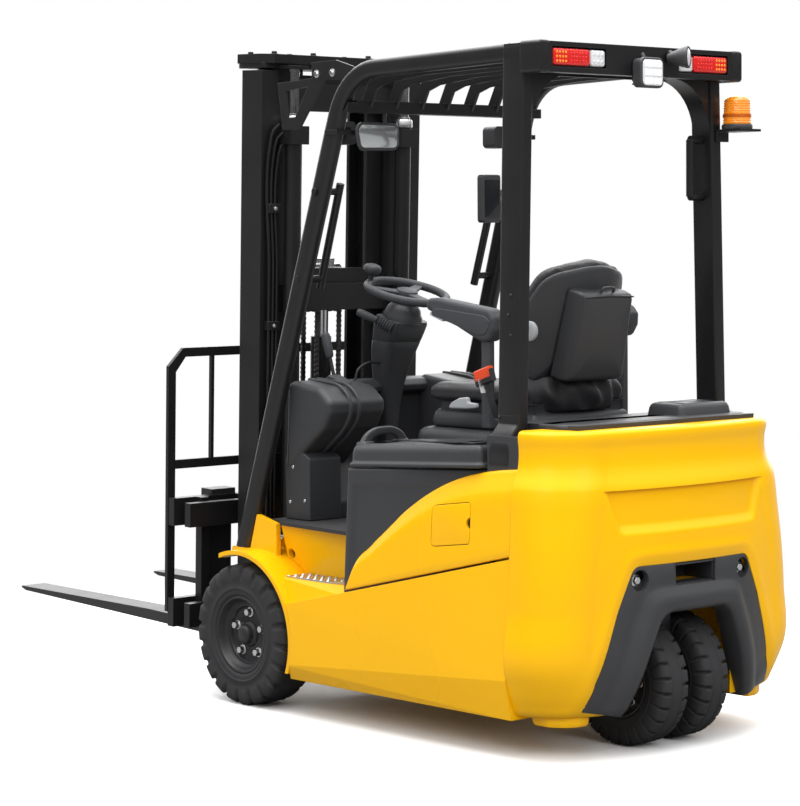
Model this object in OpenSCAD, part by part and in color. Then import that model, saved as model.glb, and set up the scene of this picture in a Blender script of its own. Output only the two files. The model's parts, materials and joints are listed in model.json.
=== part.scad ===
// Three-wheel electric forklift with a three-stage mast and a side-shifting carriage.
// Millimetres, X forward, Y left, Z up; the origin is on the floor under the middle of the whole truck.
// Inside the modules X is counted from the front axle, and the last lines shift the truck to the origin.

/* [Overall] */
// distance from the front axle to the steering axis
wheelbase = 1310; // [1280:5:1360]
// width over the side sills
body_width = 1090; // [1080:2:1110]
// how far the counterweight reaches behind the steering axis
tail_reach = 185; // [175:1:200]
// backward lean of the parked mast in degrees
mast_tilt = 2; // [0:0.5:3]
// height of the carriage above its lowest place
lift_rest = 130; // [60:5:200]

/* [Front wheels] */
// outer diameter of a front tyre
tyre_d = 456; // [440:2:470]
// width of a front tyre
tyre_w = 150; // [130:2:156]
// distance between the middles of the front tyres
track = 924; // [916:2:940]
// outer diameter of a front rim
rim_d = 250; // [230:2:270]
// diameter of the fixed hub tube that carries a front wheel
hub_d = 120; // [100:2:140]
// diameter of the axle stub inside a front rim
stub_d = 60; // [50:2:70]

/* [Rear wheels] */
// outer diameter of a rear tyre
rear_tyre_d = 382; // [370:2:390]
// width of a rear tyre
rear_tyre_w = 115; // [100:1:120]
// distance between the middles of the rear tyres
rear_track = 174; // [168:2:184]
// outer diameter of a rear rim
rear_rim_d = 216; // [200:2:230]
// diameter of the rear axle bar
rear_axle_d = 50; // [40:2:60]
// diameter of the steering kingpin
kingpin_d = 90; // [80:2:100]

/* [Mast] */
// height of the outer rails above the floor
mast_height = 2050; // [1990:5:2060]
// height of the rails' lower ends above the floor
mast_foot = 92; // [80:2:110]
// half width over the outer rails
mast_half = 345; // [340:1:348]
// depth of one rail from its rear flange to its front flange
rail_depth = 106; // [104:1:110]
// thickness of a rail's flanges
flange_t = 14; // [12:1:14]
// thickness of a rail's web
web_t = 12; // [10:1:12]
// diameter of the two lift cylinders
lift_cyl_d = 54; // [48:1:56]
// diameter of the two lift rods
lift_rod_d = 36; // [30:1:40]
// diameter of the free-lift cylinder in the middle
free_cyl_d = 70; // [60:1:72]
// diameter of the free-lift ram
ram_d = 48; // [40:1:52]
// diameter of the mast's pivot pins
pivot_d = 50; // [40:1:56]

/* [Tilt cylinders] */
// diameter of a tilt cylinder
tilt_cyl_d = 50; // [44:1:54]
// diameter of a tilt rod
tilt_rod_d = 28; // [24:1:32]
// diameter of the pins at both ends of a tilt cylinder
tilt_pin_d = 24; // [20:1:26]

/* [Carriage and forks] */
// length of a fork's blade
fork_length = 1100; // [1000:10:1200]
// width of a fork
fork_w = 100; // [80:2:110]
// thickness of a fork
fork_t = 38; // [32:1:40]
// distance between the middles of the forks
fork_gap = 604; // [500:4:640]
// width over the carriage and the load backrest
carriage_w = 1040; // [1000:4:1060]
// height of the load backrest above the forks' underside
backrest_h = 974; // [900:4:1010]

/* [Cab] */
// height of the overhead guard above the floor
guard_h = 2063; // [2030:1:2090]
// thickness of the guard's side frames
guard_t = 44; // [38:1:48]
// how far the guard's side frames stand inside the body's side at their feet
guard_inset = 83; // [79:1:87]
// diameter of the steering wheel
wheel_d = 290; // [280:2:310]

/* [Hidden] */
// room between pieces that move past each other
gap = 6;
// running clearance of a round bearing, on the radius
play = 1;
// overlap that fuses pieces of one weldment
lap = 2;

// wheels
axle_z = tyre_d / 2;
wheel_y = track / 2;
tyre_in = wheel_y - tyre_w / 2;
rear_axle_z = rear_tyre_d / 2;
steer_x = -wheelbase;
rear_half = rear_track / 2 + rear_tyre_w / 2;
well_r = sqrt(pow(rear_half, 2) + pow(rear_tyre_d / 2, 2)) + 3 * gap;
well_top = rear_tyre_d + 48;

// body sides
side_y = body_width / 2;
tumble = 3.3;
crease_z = 239;
arch_r = tyre_d / 2 + 32;
sill_front = -arch_r;
split_x = steer_x + 55;
sill_bottom = 115;
ridge_front = 356;
ridge_rear = 582;
ridge_slope = (ridge_rear - ridge_front) / (split_x - sill_front);
hood_front = -505;
cover_front = hood_front - 10;
lip_front = 800;
lip_rear = 838;
hood_back = -1115;
hood_half = side_y - (lip_front - crease_z) * tan(tumble) - 2;
hinge_x = hood_back - 3;
hinge_z = 915;
grab_x = hood_front - 34;
grab_y = side_y - 167;
seat = 0.3;
panel_t = 24;
seat_half = 245;
back_r = 265;
back_lean = 13.5;
deck_half = side_y - 61;
guard_half = side_y - guard_inset;
sill_in = side_y - 105;
fender_top = axle_z + arch_r;
fender_t = 14;
floor_z = 600;
floor_t = 12;
floor_front = -40;
belly_t = 14;
cheek_in = mast_half + 7;
cheek_t = 18;
cheek_out = cheek_in + cheek_t;
bulk_x = -92;
bulk_t = 14;
toe_y = guard_half - guard_t - 30;
wall_out = side_y - 95;
step_z = 430;
step_half = side_y - 47;
post_top = 700;
column_lean = 16;
cowl_half = guard_half - guard_t - 17;
knee_half = cowl_half - 141;

// mast, as it stands upright with no tilt
pivot_x = 40;
pivot_z = 190;
rail_x = 150;
stage_step = flange_t + gap;
carriage_lift = lift_rest;
fork_low = 26;
fork_z = fork_low + carriage_lift;
outer_in = mast_half - 70;
mid_web = outer_in - 7;
mid_out = mast_half - web_t - 8;
mid_in = mid_web - web_t - 50;
inner_web = mid_in - 7;
inner_out = mid_web - web_t - 8;
inner_in = inner_web - web_t - 45;
mid_x = rail_x + stage_step;
inner_x = mid_x + stage_step;
roller_r = (rail_depth - 2 * flange_t) / 2 - gap;
roller_x = inner_x + rail_depth / 2;
roller_in = inner_in - 10;
plate_t = 28;
cyl_x = rail_x - 34;
cyl_y = 240;
cyl_top = mast_height - 150;
ram_x = rail_x + 100;
sheave_r = 36;
sheave_y = 48;
ram_base = 1165;
ram_top = 1215 + carriage_lift / 2;
cap_z = mast_height + 23;
cap_t = 30;
cap_front = rail_x + 168;
bar_x = inner_x + rail_depth + 18;
bar_t = 30;
shift_x = bar_x + bar_t + gap;
fork_bar_x = rail_x + 230;
fork_face = fork_bar_x + 32;
fork_heel = fork_face + fork_t;
bar_low = fork_z + 48;
bar_high = fork_z + 384;
bar_h = 92;

// tilt cylinders
tilt_y = mast_half - 43;
tilt_z = 520;
tilt_eye_x = rail_x - 30;
tilt_eye = [
    pivot_x + (tilt_eye_x - pivot_x) * cos(mast_tilt) - (tilt_z - pivot_z) * sin(mast_tilt),
    pivot_z + (tilt_z - pivot_z) * cos(mast_tilt) + (tilt_eye_x - pivot_x) * sin(mast_tilt)
];
tilt_base = [-330, tilt_z];
tilt_len = norm([tilt_eye[0] - tilt_base[0], tilt_eye[1] - tilt_base[1]]);
tilt_angle = atan2(tilt_eye[1] - tilt_base[1], tilt_eye[0] - tilt_base[0]);

// the whole truck in its own middle
fork_tip = pivot_x + (fork_heel + fork_length - pivot_x) * cos(mast_tilt)
    - (fork_z - pivot_z) * sin(mast_tilt);
tail_x = steer_x - max(tail_reach, rear_tyre_d / 2);
truck_x = -(fork_tip + tail_x) / 2;

yellow = [1, 0.77, 0.05];
black = [0.12, 0.12, 0.13];
grey = [0.25, 0.25, 0.26];
steel = [0.6, 0.6, 0.62];

// shifts the truck so that the origin is under its middle
module truck() {
    translate([truck_x, 0, 0]) children();
}

// leans the mast back about its pivot pins
module tilted() {
    truck()
        translate([pivot_x, 0, pivot_z])
            rotate([0, -mast_tilt, 0])
                translate([-pivot_x, 0, -pivot_z]) children();
}

// draws a piece and its mirror image on the other side
module both() {
    children();
    mirror([0, 1, 0]) children();
}

// a box given by its two opposite corners
module span(a, b) {
    translate(a) cube(b - a);
}

// a round bar along Y from y0 to y1
module bar_y(x, z, d, y0, y1) {
    translate([x, y0, z]) rotate([-90, 0, 0]) cylinder(d = d, h = y1 - y0);
}

// a flat outline in X and Z, drawn out along Y from y0 to y1
module slab_y(y0, y1) {
    translate([0, y1, 0]) rotate([90, 0, 0]) linear_extrude(y1 - y0) children();
}

// an outline on the leaning body side, t thick inward; X and Z are as on the truck
module on_side(t) {
    translate([0, side_y, crease_z])
        rotate([tumble, 0, 0])
            translate([0, 0, -crease_z])
                rotate([90, 0, 0]) linear_extrude(t) children();
}

function ridge_z(x) = ridge_front + ridge_slope * (x - sill_front);

// height of an outline on the leaning side whose inner edge, t deep, lies at the height z
function side_z(z, t) = crease_z + (z - crease_z + t * sin(tumble)) / cos(tumble);
function lip_z(x) = lip_front + (lip_rear - lip_front) * (x - cover_front) / (split_x - cover_front);

// a round bar between two points
module rod(a, b, d) {
    v = b - a;
    translate(a) rotate([0, acos(v[2] / norm(v)), atan2(v[1], v[0])]) cylinder(d = d, h = norm(v));
}

// one ring around Y, given as an outline of radius and Y
module ring_y(x, z) {
    translate([x, 0, z]) rotate([-90, 0, 0]) rotate_extrude() children();
}

// frame of plates that carries everything
module sill_section(x, zc, zt) {
    lean = tan(tumble);
    translate([x, 0, 0]) rotate([90, 0, 90]) linear_extrude(1)
        polygon([
            [sill_in, sill_bottom], [side_y - 22, sill_bottom], [side_y, zc],
            [side_y - (zt - crease_z) * lean, zt], [sill_in, zt]
        ]);
}

// section of the step's box, which slopes from the ridge up to the tread
module step_section(x) {
    translate([x, 0, 0]) rotate([90, 0, 90]) linear_extrude(1)
        polygon([
            [sill_in - 10, 300], [side_y - 40, 300],
            [side_y - 16 - (ridge_z(x) - crease_z) * tan(tumble), ridge_z(x) - 9],
            [step_half, step_z], [sill_in - 10, step_z]
        ]);
}

module chassis_frame() {
    front = bulk_x - bulk_t - seat;
    color(yellow) {
        difference() {
            union() {
                both() {
                    // side sill
                    hull() {
                        sill_section(-225, 161, ridge_z(-225));
                        sill_section(split_x, 232, ridge_rear);
                    }
                    // wall of the toe space, under the floor and above the step
                    span([-520, toe_y, 300], [front, sill_in, floor_z - floor_t]);
                    // box under the step
                    hull() {
                        step_section(-150);
                        step_section(-505);
                    }
                    // anchor of the tilt cylinder
                    for (s = [-1, 1])
                        span([tilt_base[0] - 60, tilt_y + s * 30 - 8, tilt_base[1] - 40],
                             [tilt_base[0] + 22, tilt_y + s * 30 + 8, floor_z - floor_t]);
                    bar_y(tilt_base[0], tilt_base[1], tilt_pin_d, tilt_y - 34, tilt_y + 34);
                    // post under the rear pillar
                    span([-1213, guard_half - 70, sill_bottom], [-1125, guard_half, post_top]);
                }
                // belly plate, floor carrier, rear walls and the plate over the steered wheels
                span([split_x, -sill_in - 30, sill_bottom], [front, sill_in + 30, sill_bottom + belly_t]);
                span([-520, -sill_in, floor_z - floor_t - 10], [front, sill_in, floor_z - floor_t]);
                span([-520, -sill_in, sill_bottom], [-506, sill_in, floor_z - floor_t]);
                span([split_x, -sill_in, sill_bottom], [split_x + 16, sill_in, post_top]);
                span([split_x, -sill_in, well_top], [steer_x + well_r + 20, sill_in, well_top + 10]);
            }
            // room for the steered wheels
            translate([steer_x, 0, 0]) cylinder(r = well_r, h = well_top);
            // pockets of the steps, and the room for the fenders and the guard
            both() {
                translate([-505, 0, 0]) rotate([90, 0, 90]) linear_extrude(500)
                    polygon([
                        [toe_y + 14, step_z], [side_y + 150, step_z],
                        [side_y + 150, floor_z - floor_t], [sill_in, floor_z - floor_t]
                    ]);
                bar_y(0, axle_z, 2 * (arch_r + fender_t + seat), tyre_in - gap, side_y + 100);
                bar_y(-132, 494, 32, toe_y - 10, sill_in);
                guard_frame(seat);
            }
        }
    }
}

// front of the frame: cheeks with the pivot pins, bulkhead, fenders and the walls above them
module front_frame() {
    color(yellow) difference() {
        union() {
            both() {
                slab_y(cheek_out - lap, side_y - 4) fender_outline();
                slab_y(wall_out - 18, wall_out) wall_outline();
                slab_y(guard_half - guard_t - 6, guard_half) foot_outline();
                slab_y(cheek_in, cheek_out) cheek_outline();
                bar_y(pivot_x, pivot_z, pivot_d, mast_half - 38, cheek_in + 4);
            }
            span([bulk_x - bulk_t, -cheek_out, sill_bottom], [bulk_x, cheek_out, floor_z - floor_t]);
        }
        // slots for the tilt cylinders and the seats of the front pillars
        both() {
            span([bulk_x - 30, tilt_y - 40, tilt_z - 60], [bulk_x + 30, tilt_y + 40, tilt_z + 60]);
            guard_frame(seat);
        }
    }
}

// rim of the fender round the front tyre
module fender_outline() {
    difference() {
        translate([0, axle_z]) circle(r = arch_r + fender_t);
        translate([0, axle_z]) circle(r = arch_r);
        translate([-600, -400]) square([1200, axle_z + 400 - 95]);
        translate([94, 0]) square([600, 900]);
    }
}

// wall from the fender up to the floor, behind the front pillar
module wall_outline() {
    difference() {
        polygon([
            [52, fender_top - 18], [43, fender_top + 12], [7, floor_z + 12],
            [-93, floor_z - floor_t], [-93, 300]
        ]);
        translate([0, axle_z]) circle(r = arch_r + 2);
    }
}

// pad on the fender under the front pillar
module foot_outline() {
    difference() {
        polygon([
            [10, fender_top - 14], [30, fender_top + 13], [122, fender_top + 13],
            [126, fender_top], [96, fender_top - 22], [60, fender_top - 30]
        ]);
        translate([0, axle_z]) circle(r = arch_r + 2);
    }
}

module cheek_outline() {
    polygon([
        [bulk_x - bulk_t, sill_bottom], [20, sill_bottom], [84, 150], [84, 230],
        [50, 330], [50, fender_top - 8], [bulk_x - bulk_t, floor_z - floor_t]
    ]);
}

// fixed hubs and stubs that carry the front wheels
module drive_hubs() {
    color(black) both() {
        bar_y(0, axle_z, hub_d + 60, cheek_out, tyre_in - 3);
        bar_y(0, axle_z, hub_d, cheek_out, wheel_y + 9);
        bar_y(0, axle_z, stub_d, cheek_out, wheel_y + 40);
    }
}

module floor_plate() {
    color(black)
        translate([0, 0, floor_z - floor_t]) linear_extrude(floor_t)
            polygon([
                [floor_front, -sill_in + 10], [floor_front, sill_in - 10], [-94, sill_in - 10],
                [-120, sill_in + 18], [-505, side_y - 45], [-505, -side_y + 45],
                [-120, -sill_in - 18], [-94, -sill_in + 10]
            ]);
}

module step_treads() {
    color(steel) both()
        translate([0, 0, step_z + seat]) linear_extrude(5)
            polygon([
                [-196, toe_y + 18], [-196, step_half - 2], [-411, step_half - 2],
                [-480, step_half - 30], [-500, step_half - 30], [-500, toe_y + 18]
            ]);
}

// dashboard cowl from the floor to the top edge
module front_cowl() {
    color(grey) difference() {
        union() {
            slab_y(-cowl_half, cowl_half) polygon([
                [-72, floor_z], [-90, 1035], [-110, 1048], [-250, 1030], [-306, 985],
                [-302, 945], [-215, 800], [-190, floor_z]
            ]);
        }
        slab_y(-knee_half, knee_half) polygon([
            [-400, 990], [-200, 990], [-180, floor_z - 10], [-400, floor_z - 10]
        ]);
        column_form(seat);
    }
}

// cover of the steering column, grown by g for the cut-out in the cowl
module column_form(g) {
    hull() {
        span([-172 - g, -62 - g, floor_z], [-96 + g, 62 + g, floor_z + 4]);
        on_column() span([-58 - g, -80 - g, 366], [62 + g, 80 + g, 380 + g]);
    }
}

// places a piece on the leaning axis of the column
module on_column() {
    translate([-98, 0, 876]) rotate([0, -column_lean, 0]) children();
}

module steering_column() {
    color(black) {
        column_form(0);
        on_column() translate([0, 0, 360]) cylinder(d = 34, h = 92);
    }
}

module steering_wheel() {
    color(black) on_column() translate([0, 0, 452 + seat]) {
        rotate_extrude() translate([wheel_d / 2 - 14, 16]) circle(r = 14);
        cylinder(d = 70, h = 26);
        for (a = [0, 120, 240])
            rotate([0, 0, a + 60]) span([10, -16, 6], [wheel_d / 2 - 10, 16, 20]);
        translate([-30, wheel_d / 2 - 20, 10]) cylinder(d = 38, h = 60);
    }
}

// battery as one plain block
module battery() {
    color(grey) difference() {
        span([-1090, -400, sill_bottom + belly_t], [-540, 400, 770]);
        span([-1200, -500, 0], [steer_x + well_r + 24, 500, well_top + 14]);
    }
}

// dark covers beside the battery
module side_covers() {
    color(grey) both() on_side(20) difference() {
        polygon([
            [cover_front, side_z(ridge_z(cover_front) + seat, 20)],
            [split_x + 1, side_z(ridge_z(split_x) + seat, 20)],
            [split_x + 1, lip_rear], [cover_front, lip_front]
        ]);
        panel_outline(1);
    }
}

module panel_outline(grow) {
    polygon([
        [-528 + grow, side_z(ridge_z(-528) + seat, panel_t) - grow], [-560, 492 + grow], [-640, 572 + grow],
        [-720, 640 + grow], [-787, 690 + grow], [-880, 745 + grow], [-980, 788 + grow],
        [-1095, 818 + grow], [-1180, 831 + grow], [split_x + 1 - grow, 838 + grow],
        [split_x + 1 - grow, side_z(ridge_z(split_x) + seat, panel_t) - grow]
    ]);
}

// yellow panels over the battery sides
module side_panels() {
    color(yellow) {
        mirror([0, 1, 0]) on_side(panel_t) panel_outline(0);
        difference() {
            on_side(panel_t) panel_outline(0);
            on_side(10 + seat) flap_outline(3);
            on_side(200) flap_outline(-10);
        }
    }
}

module flap_outline(grow) {
    polygon([
        [-918 + grow, 592 - grow], [-918 + grow, 712 + grow],
        [-1082 - grow, 733 + grow], [-1082 - grow, 612 - grow]
    ]);
}

// door over the charging socket, on the left side only
module charge_flap() {
    color(yellow) on_side(10) flap_outline(0);
}

// cast counterweight
cw_levels = [
    // height, half width, corner radius, rear of the corner, bow of the rear face
    [128, 505, 215, 122, 30],
    [164, 522, 225, 131, 34],
    [239, 545, 170, 139, 40],
    [441, 535, 152, 143, 42],
    [581, 527, 160, 143, 42],
    [700, 521, 182, 142, 38],
    [784, 516, 190, 140, 32],
    [840, 492, 182, 125, 27],
    [900, 488, 178, 122, 25],
    [932, 490, 178, 125, 25],
    [948, 478, 168, 112, 24]
];
insert_x = -110;
field_x = 160;
field_r = 1485;
pocket_x = -56;
shelf_z = well_top + 60;
tow_x = -84;
tow_d = 32;
cw_arc = 8;
cw_bow = 8;

// half of the outline at one level, from the split round the corner to the middle of the rear face
function cw_half(l) = let(
        w = l[1] * side_y / 545, r = l[2], xr = steer_x - l[3] * tail_reach / 185,
        b = l[4] * tail_reach / 185,
        xc = xr + r
    ) concat(
        [[split_x, w]],
        [for (i = [0:cw_arc]) [min(xc + r * cos(90 + 90 * i / cw_arc), split_x - 2),
                               w - r + r * sin(90 + 90 * i / cw_arc)]],
        [for (i = [1:cw_bow]) let(t = 1 - i / cw_bow)
            [xr - b * (1 - t * t), (w - r) * t]]
    );
function cw_ring(l) = let(h = cw_half(l), n = len(h))
    concat(h, [for (i = [n - 2:-1:0]) [h[i][0], -h[i][1]]]);

module cw_form() {
    n = len(cw_ring(cw_levels[0]));
    m = len(cw_levels);
    pts = [for (l = cw_levels) for (p = cw_ring(l)) [p[0], p[1], l[0]]];
    sides = [for (k = [0:m - 2]) for (i = [0:n - 1])
        let(j = (i + 1) % n, a = k * n + i, b = k * n + j, c = (k + 1) * n + j, d = (k + 1) * n + i)
        each [[a, d, c], [a, c, b]]];
    polyhedron(concat(pts), concat([[for (i = [0:n - 1]) i]],
        sides, [[for (i = [n - 1:-1:0]) (m - 1) * n + i]]));
}

module insert_outline(grow) {
    polygon([
        [-243 - grow, 555 + grow], [243 + grow, 555 + grow], [300 + grow, 440],
        [384 + grow, 182 - grow], [384 + grow, 100], [-384 - grow, 100],
        [-384 - grow, 182 - grow], [-300 - grow, 440]
    ]);
}

module arch_outline() {
    polygon([
        [-240, 100], [-190, 300], [-176, 360], [-140, 396], [-100, 408],
        [100, 408], [140, 396], [176, 360], [190, 300], [240, 100]
    ]);
}

// an outline in Y and Z, drawn out along X behind the steering axis
module tail_prism(x0, x1) {
    translate([steer_x + x0, 0, 0]) rotate([90, 0, 90]) linear_extrude(x1 - x0) children();
}

// foot under the counterweight beside the rear wheels, which rises into the casting
module foot() {
    inner = 340;
    outer = side_y - 90;
    translate([0, 0, 96]) linear_extrude(44) polygon([
        [split_x - 4, inner], [split_x - 4, outer], [steer_x - 20, outer],
        [steer_x - 65, outer - 35], [steer_x - 85, outer - 75], [steer_x - 85, inner]
    ]);
}

module counterweight() {
    color(yellow) difference() {
        union() {
            cw_form();
            both() foot();
        }
        translate([steer_x, 0, 0]) cylinder(r = well_r, h = well_top);
        tail_prism(-300, 0) arch_outline();
        tail_prism(-300, insert_x) insert_outline(3);
        // shallow bare field above the insert
        difference() {
            tail_prism(-300, -60) polygon([[-337, 775], [337, 775], [290, 645], [-290, 645]]);
            translate([steer_x - field_x + field_r, 0, 500]) cylinder(r = field_r, h = 400);
        }
        // tow pocket with the pin's bore in its shelf
        tail_prism(-300, pocket_x) polygon([[-88, shelf_z], [88, shelf_z], [88, 552], [-88, 552]]);
        translate([steer_x + tow_x, 0, 400]) cylinder(d = tow_d, h = 120);
        translate([steer_x, 0, well_top - 5]) cylinder(d = kingpin_d + 2 * play, h = 90);
    }
}

// dark plastic insert round the rear wheels
module rear_fender() {
    color(black) difference() {
        intersection() {
            cw_form();
            tail_prism(-300, insert_x - seat) insert_outline(0);
        }
        tail_prism(-300, 0) arch_outline();
        tail_prism(-300, 0) polygon([[-92, shelf_z - 4], [92, shelf_z - 4], [92, 600], [-92, 600]]);
        translate([steer_x, 0, 0]) cylinder(r = well_r, h = well_top);
    }
}

// cover between the hood and the top of the counterweight
module deck_cover() {
    color(grey) difference() {
        union() {
            span([split_x, -deck_half, post_top], [hood_back - 5, deck_half, 930]);
            span([split_x - 130, -380, 948], [split_x, 380, 962]);
            span([split_x, -380, 900], [hood_back - 5, 380, 962]);
        }
        both() {
            guard_frame(2);
            bar_y(hinge_x, hinge_z, 34, 298, 362);
        }
        span([split_x + 14, -390, 690], [hood_back - 20, 390, 880]);
    }
    // pins of the hood's hinges
    color(grey) both() bar_y(hinge_x, hinge_z, 10, 290, 370);
    color(grey) both() for (y = [290, 362])
        span([hinge_x - 20, y, hinge_z - 10], [hinge_x + 8, y + 8, hinge_z + 10]);
}

// one side frame of the overhead guard, grown by g for cut-outs
module guard_frame(g) {
    top = guard_h;
    translate([0, guard_half + g, fender_top])
        rotate([1.5, 0, 0])
            translate([0, 0, -fender_top])
                rotate([90, 0, 0]) linear_extrude(guard_t + 2 * g)
                    polygon([
                        [117 + g, fender_top + 12], [-334 + g, top - 154], [-398, top - 55],
                        [-470, top - 24], [-689, top - 10], [-1205, top], [-1213 - g, top - 8],
                        [-1213 - g, post_top], [-1125 + g, post_top], [-1125 + g, top - 52],
                        [-689, top - 66], [-520, top - 80], [-456, top - 105], [-402 - g, top - 176],
                        [45 - g, fender_top + 12]
                    ]);
}

module overhead_guard() {
    color(black) both() guard_frame(0);
}

// cross beams and bars of the roof
module roof() {
    inner = guard_half - guard_t;
    color(black) difference() {
        union() {
            span([-430, -inner, guard_h - 170], [-382, inner, guard_h - 133]);
            span([-1285, -inner + 4, guard_h - 90], [-1140, inner - 4, guard_h - 2]);
            for (k = [-3:3])
                slab_y(k * 108 - 5, k * 108 + 5) polygon([
                    [-384, guard_h - 151], [-425, guard_h - 73], [-490, guard_h - 40], [-689, guard_h - 24],
                    [-1200, guard_h - 14], [-1200, guard_h - 56], [-689, guard_h - 66],
                    [-510, guard_h - 82], [-460, guard_h - 98], [-426, guard_h - 163]
                ]);
        }
        both() {
            guard_frame(0);
            span([-1300, 155, guard_h - 74], [-1255, 375, guard_h - 16]);
        }
        span([-1250, -inner + 40, guard_h - 100], [-1150, inner - 40, guard_h - 20]);
    }
}

module tail_lamps() {
    color([0.8, 0.1, 0.1]) both() span([-1288, 156, guard_h - 73], [-1255, 374, guard_h - 17]);
}

// lamps of the guard: work lamp and spot lamp behind, head lamps in front
module work_lamps() {
    color(steel) {
        span([-1330, -55, guard_h - 126], [-1285, 55, guard_h - 36]);
        translate([-1345, -118, guard_h - 34]) rotate([0, 90, 0]) cylinder(d = 66, h = 60);
        both() span([-330, 298, guard_h - 268], [-262, 376, guard_h - 192]);
    }
}

module beacon() {
    color([1, 0.5, 0.05]) translate([-1265, -440, guard_h - 235]) {
        cylinder(d = 96, h = 70);
        translate([0, 0, 70]) cylinder(d1 = 96, d2 = 60, h = 32);
    }
}

// middle of the front pillar at one height
function pillar_x(z) = 81 - (z - fender_top - 12) * 447 / (guard_h - 176 - fender_top - 12);

// brackets and handles on the guard
module guard_fittings() {
    bar_in = guard_half - 126;
    low = guard_h - 718;
    high = guard_h - 388;
    color(black) difference() {
        union() {
            span([-1316, -492, guard_h - 243], [-1205, -396, guard_h - 235 - seat]);
            span([-1222, -450, guard_h - 273], [-1210, -396, guard_h - 235 - seat]);
            both() {
                span([-390, 340, guard_h - 238], [-330, guard_half - 32, guard_h - 223]);
                span([-352, 340, guard_h - 238], [-330 - seat, 372, guard_h - 210]);
                rod([pillar_x(low) + 4, bar_in, low], [pillar_x(high) + 4, bar_in, high], 26);
                for (z = [low + 30, high - 25])
                    rod([pillar_x(z) + 4, bar_in, z], [pillar_x(z) + 4, guard_half - 22, z], 22);
            }
            // grab handle on the right rear pillar
            rod([-1166, -bar_in, guard_h - 440], [-1166, -bar_in, guard_h - 266], 26);
            for (z = [guard_h - 440, guard_h - 266])
                rod([-1166, -bar_in, z], [-1166, -guard_half + 30, z], 26);
            // display on the right front pillar
            span([-396, -262, guard_h - 511], [-374, -184, guard_h - 358]);
            rod([-384, -250, guard_h - 435], [pillar_x(guard_h - 435), -guard_half + 40, guard_h - 435], 20);
            // open plate that guards the left head lamp
            slab_y(396, 402) lamp_guard_outline();
        }
        both() guard_frame(0);
    }
}

// plate with a window, from the guard's knee towards the mast
module lamp_guard_outline() {
    translate([0, guard_h]) difference() {
        polygon([
            [-64, -63], [-236, -56], [-236, -7], [-353, -5], [-440, -30], [-440, -75],
            [-300, -63], [-268, -101], [-173, -213], [-87, -213]
        ]);
        polygon([[-104, -90], [-214, -82], [-152, -174], [-116, -176]]);
    }
}

module rear_mirror() {
    color(grey) {
        span([-408, 150, guard_h - 293], [-398, 330, guard_h - 195]);
        span([-405, 235, guard_h - 203], [-399, 245, guard_h - 170]);
    }
}

// hood over the battery, with the seat's platform
module hood() {
    color(grey) difference() {
        union() {
            slab_y(-hood_half, hood_half) polygon([
                [hood_front, lip_z(hood_front) + seat], [hood_front, 850], [hood_front - 20, 868],
                [hood_back, 905], [hood_back, lip_z(hood_back) + seat]
            ]);
            span([-1000, -225, 860], [-540, 225, 915]);
            // grab loop
            for (s = [-1, 1])
                rod([grab_x, grab_y + s * 68, 860], [grab_x, grab_y + s * 46, 902], 22);
            rod([grab_x, grab_y - 48, 900], [grab_x, grab_y + 48, 900], 22);
            both() {
                bar_y(hinge_x, hinge_z, 20, 300, 360);
                span([hinge_x, 300, 895], [hood_back + 40, 360, 911]);
            }
        }
        slab_y(-hood_half + 30, hood_half - 30) polygon([
            [hood_front - 22, 700], [hood_front - 22, 840], [hood_back + 22, 876],
            [hood_back + 22, 700]
        ]);
        both() {
            bar_y(hinge_x, hinge_z, 10 + 2 * play, 280, 380);
            bar_y(hinge_x, hinge_z, 40, 284, 300);
            bar_y(hinge_x, hinge_z, 40, 360, 376);
        }
    }
}

module seat_base() {
    color(black) span([-1040, -200, 915], [-560, 200, 968]);
}

// places a piece on the leaning back of the seat, X forward from the middle of its rear face
module on_back() {
    translate([-1004, 0, 1040]) rotate([0, -back_lean, 0]) children();
}

// a curved sheet that wraps round the driver's back, from the radius r0 to r1
module back_sheet(r0, r1, half, z0, z1) {
    on_back() intersection() {
        translate([back_r, 0, z0]) difference() {
            cylinder(r = r1, h = z1 - z0);
            translate([0, 0, -1]) cylinder(r = r0, h = z1 - z0 + 2);
        }
        rotate([90, 0, 90]) translate([0, 0, -100]) linear_extrude(300) intersection() {
            translate([-half, z0]) square([2 * half, z1 - z0]);
            translate([0, z1 - 420]) circle(r = 420);
        }
    }
}

module seat_pads() {
    color(grey) {
        slab_y(-seat_half, seat_half) polygon([
            [-534, 1000], [-548, 968 + seat], [-980, 968 + seat], [-985, 1040], [-970, 1052],
            [-600, 1056], [-550, 1046]
        ]);
        back_sheet(back_r - 62, back_r, seat_half - 25, 16, 412);
    }
}

// moulded shell behind the seat's back, with the box for papers
module seat_shell() {
    color(black) {
        back_sheet(back_r + 0.8, back_r + 16, seat_half - 40, 8, 400);
        slab_y(-120, 120) polygon([
            [-1000, 968 + seat], [-1044, 968 + seat], [-1044, 1062], [-1010, 1062]
        ]);
        on_back() difference() {
            span([-80, -126, 36], [40, 126, 320]);
            translate([back_r, 0, 0]) cylinder(r = back_r + 15, h = 600);
        }
    }
}

module armrests() {
    color(black) both() {
        slab_y(seat_half + 16, seat_half + 72) polygon([
            [-663, 1296], [-672, 1282], [-760, 1248], [-905, 1190], [-940, 1190], [-966, 1222],
            [-972, 1262], [-955, 1284], [-700, 1318], [-676, 1316]
        ]);
        span([-938, seat_half + 28, 930], [-898, seat_half + 60, 1200]);
        span([-938, 200 + seat, 930], [-898, seat_half + 60, 958]);
    }
}

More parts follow.
